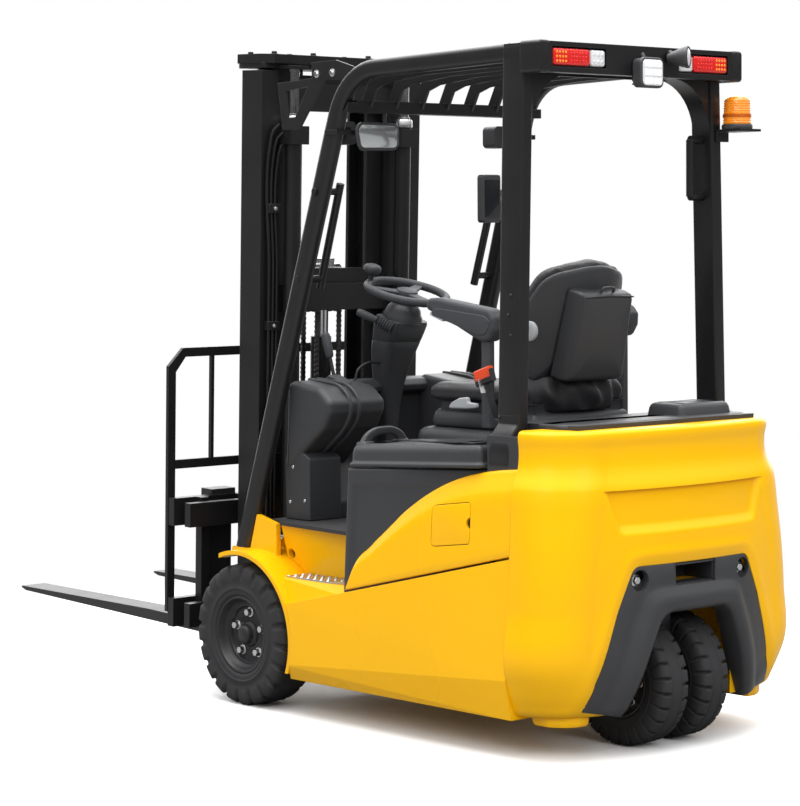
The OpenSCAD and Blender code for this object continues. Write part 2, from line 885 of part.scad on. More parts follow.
// tyres and rims
module front_tyre() {
    r = tyre_d / 2;
    h = tyre_w / 2;
    color(black) translate([0, wheel_y, 0]) ring_y(0, axle_z) polygon([
        [rim_d / 2, -h + 14], [rim_d / 2 + 20, -h], [r - 40, -h], [r - 6, -h + 16], [r, -h + 28],
        [r, h - 28], [r - 6, h - 16], [r - 40, h], [rim_d / 2 + 20, h], [rim_d / 2, h - 14]
    ]);
}

module front_rim() {
    r = rim_d / 2;
    h = tyre_w / 2;
    color(grey) translate([0, wheel_y, 0]) ring_y(0, axle_z) polygon([
        [r, -h + 14], [r, h - 14], [r - 12, h - 8], [r - 22, h - 20], [r - 34, 26],
        [45, 26], [42, 62], [0, 66], [0, 44], [stub_d / 2 + play, 42],
        [stub_d / 2 + play, 10], [r - 30, 10], [r - 12, -h + 14]
    ]);
}

module tyre_left() {
    front_tyre();
}

module tyre_right() {
    mirror([0, 1, 0]) front_tyre();
}

module rim_left() {
    front_rim();
}

module rim_right() {
    mirror([0, 1, 0]) front_rim();
}

module rear_tyres() {
    r = rear_tyre_d / 2;
    h = rear_tyre_w / 2;
    color(black) both() translate([0, rear_track / 2, 0]) ring_y(steer_x, rear_axle_z) polygon([
        [rear_rim_d / 2, -h + 10], [rear_rim_d / 2 + 14, -h], [r - 30, -h], [r - 6, -h + 12],
        [r, -h + 22], [r, h - 22], [r - 6, h - 12], [r - 30, h], [rear_rim_d / 2 + 14, h],
        [rear_rim_d / 2, h - 10]
    ]);
}

module rear_rims() {
    r = rear_rim_d / 2;
    h = rear_tyre_w / 2;
    color(grey) both() translate([0, rear_track / 2, 0]) ring_y(steer_x, rear_axle_z) polygon([
        [r, -h + 10], [r, h - 10], [r - 10, h - 6], [r - 18, h - 30], [40, h - 30],
        [38, h - 12], [0, h - 10], [0, h - 22], [rear_axle_d / 2 + play, h - 22],
        [rear_axle_d / 2 + play, 0], [r - 18, 0], [r - 10, -h + 10]
    ]);
}

// turntable, post and axle bar that carry the rear wheels
module steer_unit() {
    clear_r = rear_tyre_d / 2 + gap;
    color(black) {
        translate([steer_x, 0, well_top - 14]) cylinder(r = 150, h = 12);
        translate([steer_x, 0, well_top - 14]) cylinder(d = kingpin_d, h = 90);
        span([steer_x - 60, -rear_track / 2 + rear_tyre_w / 2 + gap, rear_axle_z - 40],
             [steer_x + 60, rear_track / 2 - rear_tyre_w / 2 - gap, well_top - 12]);
        bar_y(steer_x, rear_axle_z, rear_axle_d, -rear_half + 24, rear_half - 24);
    }
}

// one channel or I-shaped rail, from the side x0 and the half widths of its web and flanges
module rail(x0, web_out, flange_out, flange_in, z0, z1) {
    span([x0, web_out - web_t, z0], [x0 + rail_depth, web_out, z1]);
    span([x0, flange_in, z0], [x0 + flange_t, flange_out, z1]);
    span([x0 + rail_depth - flange_t, flange_in, z0], [x0 + rail_depth, flange_out, z1]);
}

// pads low on a rail that run on the web of the rail outside it
module slide_pads(x0, y0, y1) {
    for (x = [x0, x0 + rail_depth - flange_t])
        span([x, y0 - lap, mast_foot + 30], [x + flange_t, y1, mast_foot + 110]);
}

module outer_rails() {
    color(black) both() difference() {
        union() {
            rail(rail_x, mast_half, mast_half, outer_in, mast_foot, mast_height);
            // bracket round the pivot pin and lug of the tilt rod
            slab_y(mast_half - 32, mast_half - 10) polygon([
                [rail_x + 4, mast_foot + 10], [20, mast_foot + 40], [-2, pivot_z], [10, 240],
                [rail_x + 4, 330]
            ]);
            for (s = [-1, 1])
                slab_y(tilt_y + s * 24 - 6, tilt_y + s * 24 + 6) polygon([
                    [rail_x + 4, tilt_z - 50], [tilt_eye_x - 22, tilt_z - 16],
                    [tilt_eye_x - 22, tilt_z + 16], [rail_x + 4, tilt_z + 50]
                ]);
        }
        bar_y(pivot_x, pivot_z, pivot_d + 2 * play, 200, 500);
        bar_y(tilt_eye_x, tilt_z, tilt_pin_d, tilt_y - 40, tilt_y + 40);
    }
}

module outer_ties() {
    color(black) difference() {
        union() {
            for (z = [mast_foot + 8, 700, 1260, mast_height - 130])
                span([rail_x, -outer_in, z], [rail_x + flange_t, outer_in, z + 90]);
            both() for (z = [mast_foot + 8, mast_height - 240])
                span([cyl_x - 36, cyl_y - 38, z], [rail_x, cyl_y + 38, z + 60]);
            both() span([rail_x, cyl_y - 38, mast_height - 240],
                        [rail_x + flange_t, outer_in, mast_height - 100]);
        }
        both() translate([cyl_x, cyl_y, mast_foot + 30]) cylinder(d = lift_cyl_d, h = 3000);
    }
}

module lift_cylinders() {
    color(black) both() translate([cyl_x, cyl_y, mast_foot + 30]) difference() {
        cylinder(d = lift_cyl_d, h = cyl_top - mast_foot - 30);
        translate([0, 0, 40]) cylinder(d = lift_rod_d + 2 * play, h = 3000);
    }
}

module lift_rods() {
    color(steel) both() translate([cyl_x, cyl_y, mast_foot + 80])
        cylinder(d = lift_rod_d, h = mast_height + 4 - mast_foot - 80);
}

module middle_rails() {
    color(black) both() {
        rail(mid_x, mid_web, mid_out, mid_in, mast_foot + 4, mast_height);
        slide_pads(mid_x, mid_out, mast_half - web_t - seat);
    }
}

module middle_ties() {
    color(black) {
        for (z = [mast_foot + 12, 760, 1320, mast_height - 100])
            span([mid_x, -mid_in, z], [mid_x + flange_t, mid_in, z + 80]);
        both() span([cyl_x - 26, cyl_y - 40, mast_height + 4], [mid_x + flange_t, cyl_y + 40, mast_height + 16]);
        both() span([mid_x, mid_in - 20, mast_height - 24], [mid_x + flange_t, mid_in, mast_height + 16]);
        both() span([mid_x, mid_in - 20, mast_height], [mid_x + flange_t, cyl_y + 40, mast_height + 16]);
    }
}

module inner_rails() {
    color(black) both() {
        rail(inner_x, inner_web, inner_out, inner_in, mast_foot + 8, cap_z);
        slide_pads(inner_x, inner_out, mid_web - web_t - seat);
    }
}

module inner_ties() {
    color(black) {
        for (z = [mast_foot + 16, 820, mast_height - 90])
            span([inner_x, -inner_in, z], [inner_x + flange_t, inner_in, z + 80]);
        span([inner_x, -98, mast_foot + 16], [ram_x + 40, 98, mast_foot + 40]);
        translate([0, 0, cap_z]) linear_extrude(cap_t) polygon([
            [rail_x - 14, 40 - mast_half], [rail_x - 14, mast_half - 40], [rail_x + 20, mast_half - 4],
            [cap_front - 30, mast_half - 4], [cap_front, mast_half - 32], [cap_front, 32 - mast_half],
            [cap_front - 30, 4 - mast_half], [rail_x + 20, 4 - mast_half]
        ]);
    }
}

module free_lift_cylinder() {
    color(black) translate([ram_x, 0, mast_foot + 40]) difference() {
        cylinder(d = free_cyl_d, h = ram_base - mast_foot - 40);
        translate([0, 0, 60]) cylinder(d = ram_d + 2 * play, h = 3000);
    }
}

module ram_head() {
    color(steel) {
        translate([ram_x, 0, ram_base - 900]) cylinder(d = ram_d, h = ram_top - ram_base + 900);
        span([ram_x - 30, -30, ram_top - 20], [ram_x + 30, 30, ram_top + 150]);
        both() bar_y(ram_x, ram_top + 10, 2 * sheave_r - 10, 30, sheave_y + 12);
        bar_y(ram_x, ram_top + 95, 80, -62, 62);
    }
}

module lift_chains() {
    z0 = 260;
    color(grey) both() {
        for (x = [ram_x - sheave_r, ram_x + sheave_r])
            span([x - 5, sheave_y - 10, z0], [x + 5, sheave_y + 10, ram_top + 10]);
        difference() {
            bar_y(ram_x, ram_top + 10, 2 * sheave_r + 10, sheave_y - 10, sheave_y + 10);
            bar_y(ram_x, ram_top + 10, 2 * sheave_r - 10, sheave_y - 20, sheave_y + 20);
            span([ram_x - 80, 0, ram_top - 80], [ram_x + 80, 100, ram_top + 10]);
        }
    }
}

// carriage that runs on rollers in the inner rails
module carriage() {
    half = carriage_w / 2 - 20;
    color(black) {
        both() {
            span([roller_x - 31, roller_in - plate_t, fork_z + 30],
                 [bar_x + lap, roller_in, fork_z + 460]);
            for (z = [fork_z + 90, fork_z + 410])
                bar_y(roller_x, z, 2 * roller_r, roller_in - 4, inner_web - web_t - gap);
            for (z = [fork_z + 90, fork_z + 410])
                bar_y(roller_x, z, roller_r, roller_in - 4, inner_web - web_t - seat);
        }
        span([bar_x, -half, bar_low], [bar_x + bar_t, half, bar_low + 80]);
        span([bar_x, -half, bar_high], [bar_x + bar_t, half, bar_high + 80]);
    }
}

// frame that slides sideways on the carriage and carries the forks
module shift_frame() {
    half = carriage_w / 2 - 2;
    color(black) {
        span([fork_bar_x, -half, bar_low - 4], [fork_face, half, bar_low + bar_h]);
        span([fork_bar_x, -half, bar_high], [fork_face, half, bar_high + bar_h]);
        both() span([shift_x, 395, bar_low - 4], [fork_bar_x + lap, 425, bar_high + bar_h]);
        span([bar_x, -260, bar_high + 80 + seat], [fork_bar_x + lap, 260, bar_high + bar_h]);
    }
}

module load_backrest() {
    top = fork_z + backrest_h;
    half = carriage_w / 2;
    color(black) {
        both() span([fork_face, half - 30, fork_z + 92], [fork_face + 14, half, top - 60]);
        both() hull() {
            span([fork_face, half - 30, top - 80], [fork_face + 14, half, top - 60]);
            span([fork_face, half - 70, top - 30], [fork_face + 14, half - 60, top]);
        }
        span([fork_face, -half + 66, top - 30], [fork_face + 14, half - 66, top]);
        span([fork_face, -half + 20, fork_z + 570], [fork_face + 14, half - 20, fork_z + 600]);
        for (k = [-2:2])
            span([fork_face, k * 168 - 6, fork_z + 590], [fork_face + 14, k * 168 + 6, top - 4]);
    }
}

module forks() {
    color(black) both() translate([0, fork_gap / 2 - fork_w / 2, 0]) {
        slab_y(0, fork_w) polygon([
            [fork_face, fork_z], [fork_heel + fork_length - fork_t + 8, fork_z + 2],
            [fork_heel + fork_length - fork_t + 38, fork_z + 10],
            [fork_heel + fork_length - fork_t + 34, fork_z + 16],
            [fork_heel + 300, fork_z + fork_t], [fork_heel + 20, fork_z + fork_t],
            [fork_heel, fork_z + fork_t + 22], [fork_heel, bar_high + bar_h + 18],
            [fork_face - 20, bar_high + bar_h + 18], [fork_face - 20, bar_high + bar_h],
            [fork_face, bar_high + bar_h]
        ]);
    }
}

// cylinders that lean the mast
module along_tilt() {
    translate([tilt_base[0], tilt_y, tilt_base[1]]) rotate([0, 90 - tilt_angle, 0]) children();
}

module tilt_barrels() {
    color(black) both() along_tilt() difference() {
        union() {
            translate([0, 0, 30]) cylinder(d = tilt_cyl_d, h = 210);
            translate([0, 18, 0]) rotate([90, 0, 0]) cylinder(d = 52, h = 36);
            translate([-16, -16, 0]) cube([32, 32, 40]);
        }
        translate([0, 40, 0]) rotate([90, 0, 0]) cylinder(d = tilt_pin_d + 2 * play, h = 80);
        translate([0, 0, 70]) cylinder(d = tilt_rod_d + 2 * play, h = 400);
    }
}

module tilt_rods() {
    color(steel) both() along_tilt() difference() {
        union() {
            translate([0, 0, 150]) cylinder(d = tilt_rod_d, h = tilt_len - 150 - 20);
            translate([0, 15, tilt_len]) rotate([90, 0, 0]) cylinder(d = 46, h = 30);
        }
        translate([0, 40, tilt_len]) rotate([90, 0, 0]) cylinder(d = tilt_pin_d + 2 * play, h = 80);
    }
}

truck() chassis_frame();
truck() front_frame();
truck() drive_hubs();
truck() floor_plate();
truck() step_treads();
truck() front_cowl();
truck() steering_column();
truck() battery();
truck() side_covers();
truck() side_panels();
truck() counterweight();
truck() rear_fender();
truck() deck_cover();
truck() overhead_guard();
truck() roof();
truck() tail_lamps();
truck() work_lamps();
truck() beacon();
truck() guard_fittings();
truck() rear_mirror();
truck() hood();
truck() seat_base();
truck() seat_pads();
truck() seat_shell();
truck() armrests();
truck() charge_flap();
truck() tyre_left();
truck() tyre_right();
truck() rim_left();
truck() rim_right();
truck() steer_unit();
truck() rear_tyres();
truck() rear_rims();
truck() steering_wheel();
tilted() outer_rails();
tilted() outer_ties();
tilted() lift_cylinders();
tilted() middle_rails();
tilted() middle_ties();
tilted() lift_rods();
tilted() inner_rails();
tilted() inner_ties();
tilted() free_lift_cylinder();
tilted() ram_head();
tilted() lift_chains();
tilted() carriage();
tilted() shift_frame();
tilted() load_backrest();
tilted() forks();
truck() tilt_barrels();
truck() tilt_rods();
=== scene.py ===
"""Three-wheel electric forklift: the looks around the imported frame, in metres."""
import json

import bmesh
import bpy
import numpy as np
from mathutils import Matrix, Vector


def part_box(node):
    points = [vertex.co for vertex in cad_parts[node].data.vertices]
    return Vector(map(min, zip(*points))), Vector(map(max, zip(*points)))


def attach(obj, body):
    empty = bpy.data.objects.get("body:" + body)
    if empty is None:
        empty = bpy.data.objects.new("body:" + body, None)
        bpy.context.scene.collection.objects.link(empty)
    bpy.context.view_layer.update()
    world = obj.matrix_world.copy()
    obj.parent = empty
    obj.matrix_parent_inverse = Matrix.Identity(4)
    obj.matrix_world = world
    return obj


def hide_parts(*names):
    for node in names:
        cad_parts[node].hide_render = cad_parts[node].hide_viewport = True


# The frame: every CAD node at its place. The front axle is the zero of the truck's own
# lengths, so the sizes below are millimetres from that axle, as on a workshop drawing.
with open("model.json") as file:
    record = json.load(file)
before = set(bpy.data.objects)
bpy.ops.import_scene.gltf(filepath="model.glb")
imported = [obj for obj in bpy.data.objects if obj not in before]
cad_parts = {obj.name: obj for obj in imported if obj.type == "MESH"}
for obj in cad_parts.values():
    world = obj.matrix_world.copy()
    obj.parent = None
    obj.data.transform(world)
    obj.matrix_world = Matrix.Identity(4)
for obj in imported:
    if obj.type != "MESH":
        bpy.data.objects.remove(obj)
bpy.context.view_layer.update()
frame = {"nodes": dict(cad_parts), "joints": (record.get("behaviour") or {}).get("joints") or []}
joints = {joint["name"]: joint for joint in frame["joints"]}
axle_x = joints["wheel_left_spin"]["pos_m"][0] * 1000
pivot = np.array(joints["mast_tilt"]["pos_m"]) * 1000
mast_axis = np.array(joints["mast_lift"]["axis"])


def place(points):
    """Millimetres from the front axle into the frame's metres."""
    return (np.asarray(points, float) + [axle_x, 0, 0]) / 1000


def on_mast(points):
    """Millimetres of the upright mast, turned back about its pivot pins with the parked mast's lean."""
    lean_x, lean_z = mast_axis[0], mast_axis[2]
    p = np.asarray(points, float) + [axle_x, 0, 0] - pivot
    x = p[..., 0] * lean_z + p[..., 2] * lean_x
    z = p[..., 2] * lean_z - p[..., 0] * lean_x
    return (np.stack([x, p[..., 1], z], -1) + pivot) / 1000


# Floor, light and camera: a plain pale floor, three large soft lamps, a bright far wall and a lens of 117 mm
# that stands behind the truck on its left, at eye height.
camera_place = (-6622.45, 5660.65, 1501.37)
camera_yaw, camera_pitch, camera_roll = np.radians([-41.34, -3.61, -0.44])
camera_lens = 116.57
forward = np.array([np.cos(camera_yaw) * np.cos(camera_pitch), np.sin(camera_yaw) * np.cos(camera_pitch),
                    np.sin(camera_pitch)])
level = np.array([np.sin(camera_yaw), -np.cos(camera_yaw), 0])
rise = np.cross(level, forward)
right = np.cos(camera_roll) * level + np.sin(camera_roll) * rise
upward = np.cos(camera_roll) * rise - np.sin(camera_roll) * level
camera = bpy.data.objects.new("camera", bpy.data.cameras.new("camera"))
camera.data.lens = camera_lens
turn = Matrix(np.column_stack([right, upward, -forward]).tolist()).to_4x4()
camera.matrix_world = Matrix.Translation(place(camera_place).tolist()) @ turn
bpy.context.scene.collection.objects.link(camera)
bpy.context.scene.camera = camera
bpy.context.scene.view_settings.view_transform = "Standard"


def graded(tree, source, low, high, to_low=0.0, to_high=1.0):
    """A node that runs in an even S from to_low to to_high while its source runs from low to high."""
    node = tree.nodes.new("ShaderNodeMapRange")
    node.interpolation_type = "SMOOTHSTEP"
    for socket, value in (("From Min", low), ("From Max", high), ("To Min", to_low), ("To Max", to_high)):
        node.inputs[socket].default_value = value
    tree.links.new(source, node.inputs["Value"])
    return node.outputs["Result"]


sky_low, sky_high, wall_bright = 0.06, 1.6, 2.4
far_wall_way = (0.8, -0.56, 0.2)
world = bpy.data.worlds.new("studio")
bpy.context.scene.world = world
world.use_nodes = True
sky_nodes, sky_links = world.node_tree.nodes, world.node_tree.links
sky = sky_nodes["Background"]
sky.inputs["Color"].default_value = (1, 1, 1, 1)
sky_way = sky_nodes.new("ShaderNodeTexCoord").outputs["Generated"]
sky_height = sky_nodes.new("ShaderNodeSeparateXYZ")
sky_links.new(sky_way, sky_height.inputs[0])
far_wall = sky_nodes.new("ShaderNodeVectorMath")
far_wall.operation = "DOT_PRODUCT"
far_wall.inputs[1].default_value = far_wall_way
sky_links.new(sky_way, far_wall.inputs[0])
all_light = sky_nodes.new("ShaderNodeMath")
sky_links.new(graded(world.node_tree, sky_height.outputs["Z"], 0.0, 0.9, sky_low, sky_high), all_light.inputs[0])
sky_links.new(graded(world.node_tree, far_wall.outputs["Value"], 0.5, 0.95, 0.0, wall_bright), all_light.inputs[1])
sky_seen = sky_nodes.new("ShaderNodeMix")
sky_seen.data_type = "FLOAT"
sky_seen.inputs[3].default_value = 1.0
sky_links.new(sky_nodes.new("ShaderNodeLightPath").outputs["Is Camera Ray"], sky_seen.inputs[0])
sky_links.new(all_light.outputs[0], sky_seen.inputs[2])
sky_links.new(sky_seen.outputs[0], sky.inputs["Strength"])

floor_reach, floor_lit, floor_seen = 40, 0.22, 0.95
floor_mesh = bpy.data.meshes.new("floor")
floor_corners = [(x * floor_reach, y * floor_reach, 0) for x, y in ((-1, -1), (1, -1), (1, 1), (-1, 1))]
floor_mesh.from_pydata(floor_corners, [], [(0, 1, 2, 3)])
floor_paint = bpy.data.materials.new("pale_floor")
floor_paint.use_nodes = True
floor_paint.node_tree.nodes["Principled BSDF"].inputs["Roughness"].default_value = 0.7
floor_nodes, floor_links = floor_paint.node_tree.nodes, floor_paint.node_tree.links
floor_shade = floor_nodes.new("ShaderNodeMix")
floor_shade.data_type = "RGBA"
floor_shade.inputs[6].default_value = (floor_lit, floor_lit, floor_lit, 1)
floor_shade.inputs[7].default_value = (floor_seen, floor_seen, floor_seen, 1)
floor_links.new(floor_nodes.new("ShaderNodeLightPath").outputs["Is Camera Ray"], floor_shade.inputs[0])
floor_links.new(floor_shade.outputs[2], floor_nodes["Principled BSDF"].inputs["Base Color"])
away = floor_nodes.new("ShaderNodeVectorMath")
away.operation = "LENGTH"
floor_links.new(floor_nodes.new("ShaderNodeTexCoord").outputs["Object"], away.inputs[0])
seen_far = floor_nodes.new("ShaderNodeMath")
seen_far.operation = "MULTIPLY"
floor_links.new(graded(floor_paint.node_tree, away.outputs["Value"], 1.3, 3.2), seen_far.inputs[0])
floor_links.new(floor_nodes.new("ShaderNodeLightPath").outputs["Is Camera Ray"], seen_far.inputs[1])
bright = floor_nodes.new("ShaderNodeEmission")
both_floors = floor_nodes.new("ShaderNodeMixShader")
floor_links.new(seen_far.outputs[0], both_floors.inputs[0])
floor_links.new(floor_nodes["Principled BSDF"].outputs[0], both_floors.inputs[1])
floor_links.new(bright.outputs[0], both_floors.inputs[2])
floor_links.new(both_floors.outputs[0], floor_nodes["Material Output"].inputs["Surface"])
floor_mesh.materials.append(floor_paint)
floor = bpy.data.objects.new("floor", floor_mesh)
bpy.context.scene.collection.objects.link(floor)


def soft_lamp(name, where, aim, width, watts, shines=False):
    """A square lamp of the given width at one point, turned to face another; only one that shines is mirrored."""
    lamp = bpy.data.lights.new(name, "AREA")
    lamp.shape, lamp.size, lamp.energy = "SQUARE", width, watts
    holder = bpy.data.objects.new(name, lamp)
    view = Matrix.Translation(where).to_translation() - Matrix.Translation(aim).to_translation()
    holder.matrix_world = Matrix.Translation(where) @ view.to_track_quat("Z", "Y").to_matrix().to_4x4()
    holder.visible_glossy = shines
    bpy.context.scene.collection.objects.link(holder)


soft_lamp("lamp_above", (-0.2, 0.2, 7.6), (-0.2, 0, 0), 7.3, 633, shines=True)
soft_lamp("lamp_left", (-2.5, 5.5, 3.6), (-0.2, 0, 0.9), 3.2, 112)
soft_lamp("lamp_rear", (-6.0, 0.5, 3.2), (-0.2, 0, 0.9), 3.0, 92)

# Counterweight: one heavy iron casting behind the battery, with a collar, a rolled shoulder, a pressed-in
# field on its rear face and two feet. It is filled, ground and painted in the same gloss as the body.
steer_x = (joints["steer"]["pos_m"][0] * 1000) - axle_x
split_x = steer_x + 55
yellow_colour = (0.98, 0.505, 0.002)


def finish(name, colour, rough, drift=0.06, patch=5, grain=600, relief=0.015, edge=2.0, **sockets):
    """A surface whose colour and roughness drift by slow noise, with a fine grain as bump. The normal comes
    from a bevel of the given millimetres, so that sharp edges catch a thin light."""
    paint = bpy.data.materials.new(name)
    paint.use_nodes = True
    nodes, links = paint.node_tree.nodes, paint.node_tree.links
    shader = nodes["Principled BSDF"]
    where = nodes.new("ShaderNodeTexCoord").outputs["Object"]
    slow, fine = nodes.new("ShaderNodeTexNoise"), nodes.new("ShaderNodeTexNoise")
    for noise, scale in ((slow, patch), (fine, grain)):
        noise.inputs["Scale"].default_value = scale
        noise.inputs["Detail"].default_value = 3
        links.new(where, noise.inputs["Vector"])
    shade = nodes.new("ShaderNodeMix")
    shade.data_type = "RGBA"
    shade.inputs[6].default_value = [c * (1 - drift) for c in colour] + [1]
    shade.inputs[7].default_value = [min(1, c * (1 + drift)) for c in colour] + [1]
    links.new(slow.outputs["Fac"], shade.inputs[0])
    links.new(shade.outputs[2], shader.inputs["Base Color"])
    gloss = nodes.new("ShaderNodeMapRange")
    gloss.inputs["To Min"].default_value = max(0.02, rough - 0.07)
    gloss.inputs["To Max"].default_value = min(1, rough + 0.07)
    links.new(slow.outputs["Fac"], gloss.inputs["Value"])
    links.new(gloss.outputs["Result"], shader.inputs["Roughness"])
    soft = nodes.new("ShaderNodeBevel")
    soft.samples = 4
    soft.inputs["Radius"].default_value = edge / 1000
    bump = nodes.new("ShaderNodeBump")
    bump.inputs["Strength"].default_value = relief * 10
    bump.inputs["Distance"].default_value = 0.001
    links.new(fine.outputs["Fac"], bump.inputs["Height"])
    links.new(soft.outputs["Normal"], bump.inputs["Normal"])
    links.new(bump.outputs["Normal"], shader.inputs["Normal"])
    for socket, value in sockets.items():
        shader.inputs[socket.replace("_", " ")].default_value = value
    return paint


def dress(node, paint):
    """Gives a CAD node its material."""
    mesh = frame["nodes"][node].data
    mesh.materials.clear()
    mesh.materials.append(paint)


def grid_faces(rows, columns, round_rows=False, round_columns=False):
    """Four-sided faces between neighbours on a grid of points, joined round where asked."""
    i = np.arange(rows if round_rows else rows - 1)[:, None]
    j = np.arange(columns if round_columns else columns - 1)[None, :]
    i, j, i2, j2 = np.broadcast_arrays(i, j, (i + 1) % rows, (j + 1) % columns)
    corners = [i * columns + j, i2 * columns + j, i2 * columns + j2, i * columns + j2]
    return np.stack(corners, -1).reshape(-1, 4)


def loft(rings, lids=True):
    """Skin over closed rings of points, one after the other, with a flat lid on both ends."""
    rings = np.asarray(rings, float)
    count, n = rings.shape[:2]
    faces = [grid_faces(count, n, round_columns=True)]
    if lids:
        faces += [np.arange(n)[None, ::-1], (count - 1) * n + np.arange(n)[None]]
    return rings.reshape(-1, 3), faces


def piece(name, shapes, body, paint, where=place, sharp=38):
    """One object from closed shapes: their points go to their place, doubled points are merged, the faces
    are turned outwards, and edges over the given angle stay sharp."""
    points, faces, start = [], [], 0
    for shape_points, shape_faces in shapes:
        points.append(np.asarray(shape_points, float).reshape(-1, 3))
        for block in shape_faces:
            faces += (np.asarray(block) + start).tolist()
        start += len(points[-1])
    mesh = bpy.data.meshes.new(name)
    mesh.from_pydata(where(np.concatenate(points)).tolist(), [], faces)
    shape = bmesh.new()
    shape.from_mesh(mesh)
    bmesh.ops.remove_doubles(shape, verts=shape.verts, dist=1e-6)
    bmesh.ops.dissolve_degenerate(shape, edges=shape.edges, dist=1e-7)
    bmesh.ops.recalc_face_normals(shape, faces=shape.faces)
    shape.to_mesh(mesh)
    shape.free()
    mesh.shade_smooth()
    mesh.set_sharp_from_angle(angle=np.radians(sharp))
    mesh.materials.append(paint)
    thing = bpy.data.objects.new(name, mesh)
    bpy.context.scene.collection.objects.link(thing)
    if body:
        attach(thing, body)
    return thing


def carve(thing, *shapes, where=place, sharp=38):
    """Cuts closed shapes out of a piece, the way a core leaves a hollow in a casting."""
    cutter = piece("core", shapes, None, None, where)
    tool = thing.modifiers.new("hollow", "BOOLEAN")
    tool.object, tool.operation, tool.solver = cutter, "DIFFERENCE", "EXACT"
    mesh = bpy.data.meshes.new_from_object(thing.evaluated_get(bpy.context.evaluated_depsgraph_get()))
    thing.modifiers.clear()
    thing.data = mesh
    shape = bmesh.new()
    shape.from_mesh(mesh)
    bmesh.ops.recalc_face_normals(shape, faces=shape.faces)
    shape.to_mesh(mesh)
    shape.free()
    mesh.shade_smooth()
    mesh.set_sharp_from_angle(angle=np.radians(sharp))
    bpy.data.objects.remove(cutter)


def eased(at, knots, values):
    """A smooth curve through knots: cubic pieces whose slopes are those of the neighbours' chords."""
    knots, values = np.asarray(knots, float), np.asarray(values, float)
    slopes = np.gradient(values, knots)
    k = np.clip(np.searchsorted(knots, at) - 1, 0, len(knots) - 2)
    gap = knots[k + 1] - knots[k]
    t = np.clip((at - knots[k]) / gap, 0, 1)
    return ((1 + 2 * t) * (1 - t) ** 2 * values[k] + t * (1 - t) ** 2 * gap * slopes[k]
            + t * t * (3 - 2 * t) * values[k + 1] + t * t * (t - 1) * gap * slopes[k + 1])


def ramp(value, low, high):
    """0 below low, 1 above high and an even S between them."""
    t = np.clip((value - low) / (high - low), 0, 1)
    return t * t * (3 - 2 * t)


def rounded(corners, radius, steps=6):
    """Closed outline whose corners are arcs: each starts and ends at radius / tan(half the corner's angle)
    from the corner, and its points lie on the circle between."""
    c = np.asarray(corners, float)
    r = np.broadcast_to(np.asarray(radius, float), len(c))[:, None]
    back, on = np.roll(c, 1, 0) - c, np.roll(c, -1, 0) - c
    back /= np.linalg.norm(back, axis=1, keepdims=True)
    on /= np.linalg.norm(on, axis=1, keepdims=True)
    half = np.arccos(np.clip((back * on).sum(1, keepdims=True), -1, 0.9999)) / 2
    half = np.minimum(half, np.pi / 2 - 1e-3)
    middle = back + on
    middle /= np.maximum(np.linalg.norm(middle, axis=1, keepdims=True), 1e-9)
    centre = c + middle * r / np.sin(half)
    first, last = c + back * r / np.tan(half) - centre, c + on * r / np.tan(half) - centre
    turn_by = (np.pi - 2 * half)[:, None]
    t = np.linspace(0, 1, steps + 1)[None, :, None]
    arc = (np.sin((1 - t) * turn_by) * first[:, None] + np.sin(t * turn_by) * last[:, None]) / np.sin(turn_by)
    return (centre[:, None] + arc).reshape(-1, 2)


# height, half width, corner radius, rear of the corner behind the steering axis, bow of the rear face
casting_levels = np.array([[126, 497, 205, 116, 29], [132, 504, 205, 121, 30], [164, 521, 200, 131, 34],
                           [231, 542, 172, 139, 40], [240, 545, 170, 140, 40], [441, 536, 152, 144, 42],
                           [581, 528, 160, 144, 42], [700, 522, 180, 143, 38], [764, 519, 190, 142, 34],
                           [784, 516, 190, 140, 32], [826, 497, 184, 128, 28], [840, 492, 182, 125, 27],
                           [868, 488, 180, 122, 26], [900, 488, 178, 122, 25], [926, 491, 178, 126, 25],
                           [938, 490, 178, 125, 25], [946, 484, 174, 119, 25], [949, 474, 166, 109, 24]])


def casting_outline(z):
    """Half width, corner radius, X of the corner's rear and bow at each height."""
    width, radius, reach, bow = (eased(z, casting_levels[:, 0], casting_levels[:, k]) for k in (1, 2, 3, 4))
    return width, radius, steer_x - reach, bow


def rear_x(y, z):
    """X of the casting's rear face: a parabola between the corners, then the corner's quarter circle."""
    width, radius, corner_x, bow = casting_outline(z)
    flat = width - radius
    inner = corner_x - bow * (1 - (np.minimum(np.abs(y), flat) / flat) ** 2)
    past = np.clip(np.abs(y) - flat, 0, radius)
    return inner + radius - np.sqrt(radius ** 2 - past ** 2)


insert_corners = np.array([[243, 555], [302, 430], [386, 178]])
field_low, field_high, field_sunk, well_radius = 645, 775, 15, 255


def beyond_insert(y, z):
    """Distance outside the insert's outline: the largest of the distances to its edges, eased at the
    corners."""
    edge_way = np.diff(insert_corners, axis=0)
    normal = np.stack([-edge_way[:, 1], edge_way[:, 0]], 1) / np.linalg.norm(edge_way, axis=1)[:, None]
    sides = [(np.abs(y) - c[0]) * n[0] + (z - c[1]) * n[1] for c, n in zip(insert_corners, normal)]
    edges = np.stack([z - insert_corners[0, 1]] + sides)
    soft = 16
    return soft * np.log(np.exp(edges / soft).sum(0))


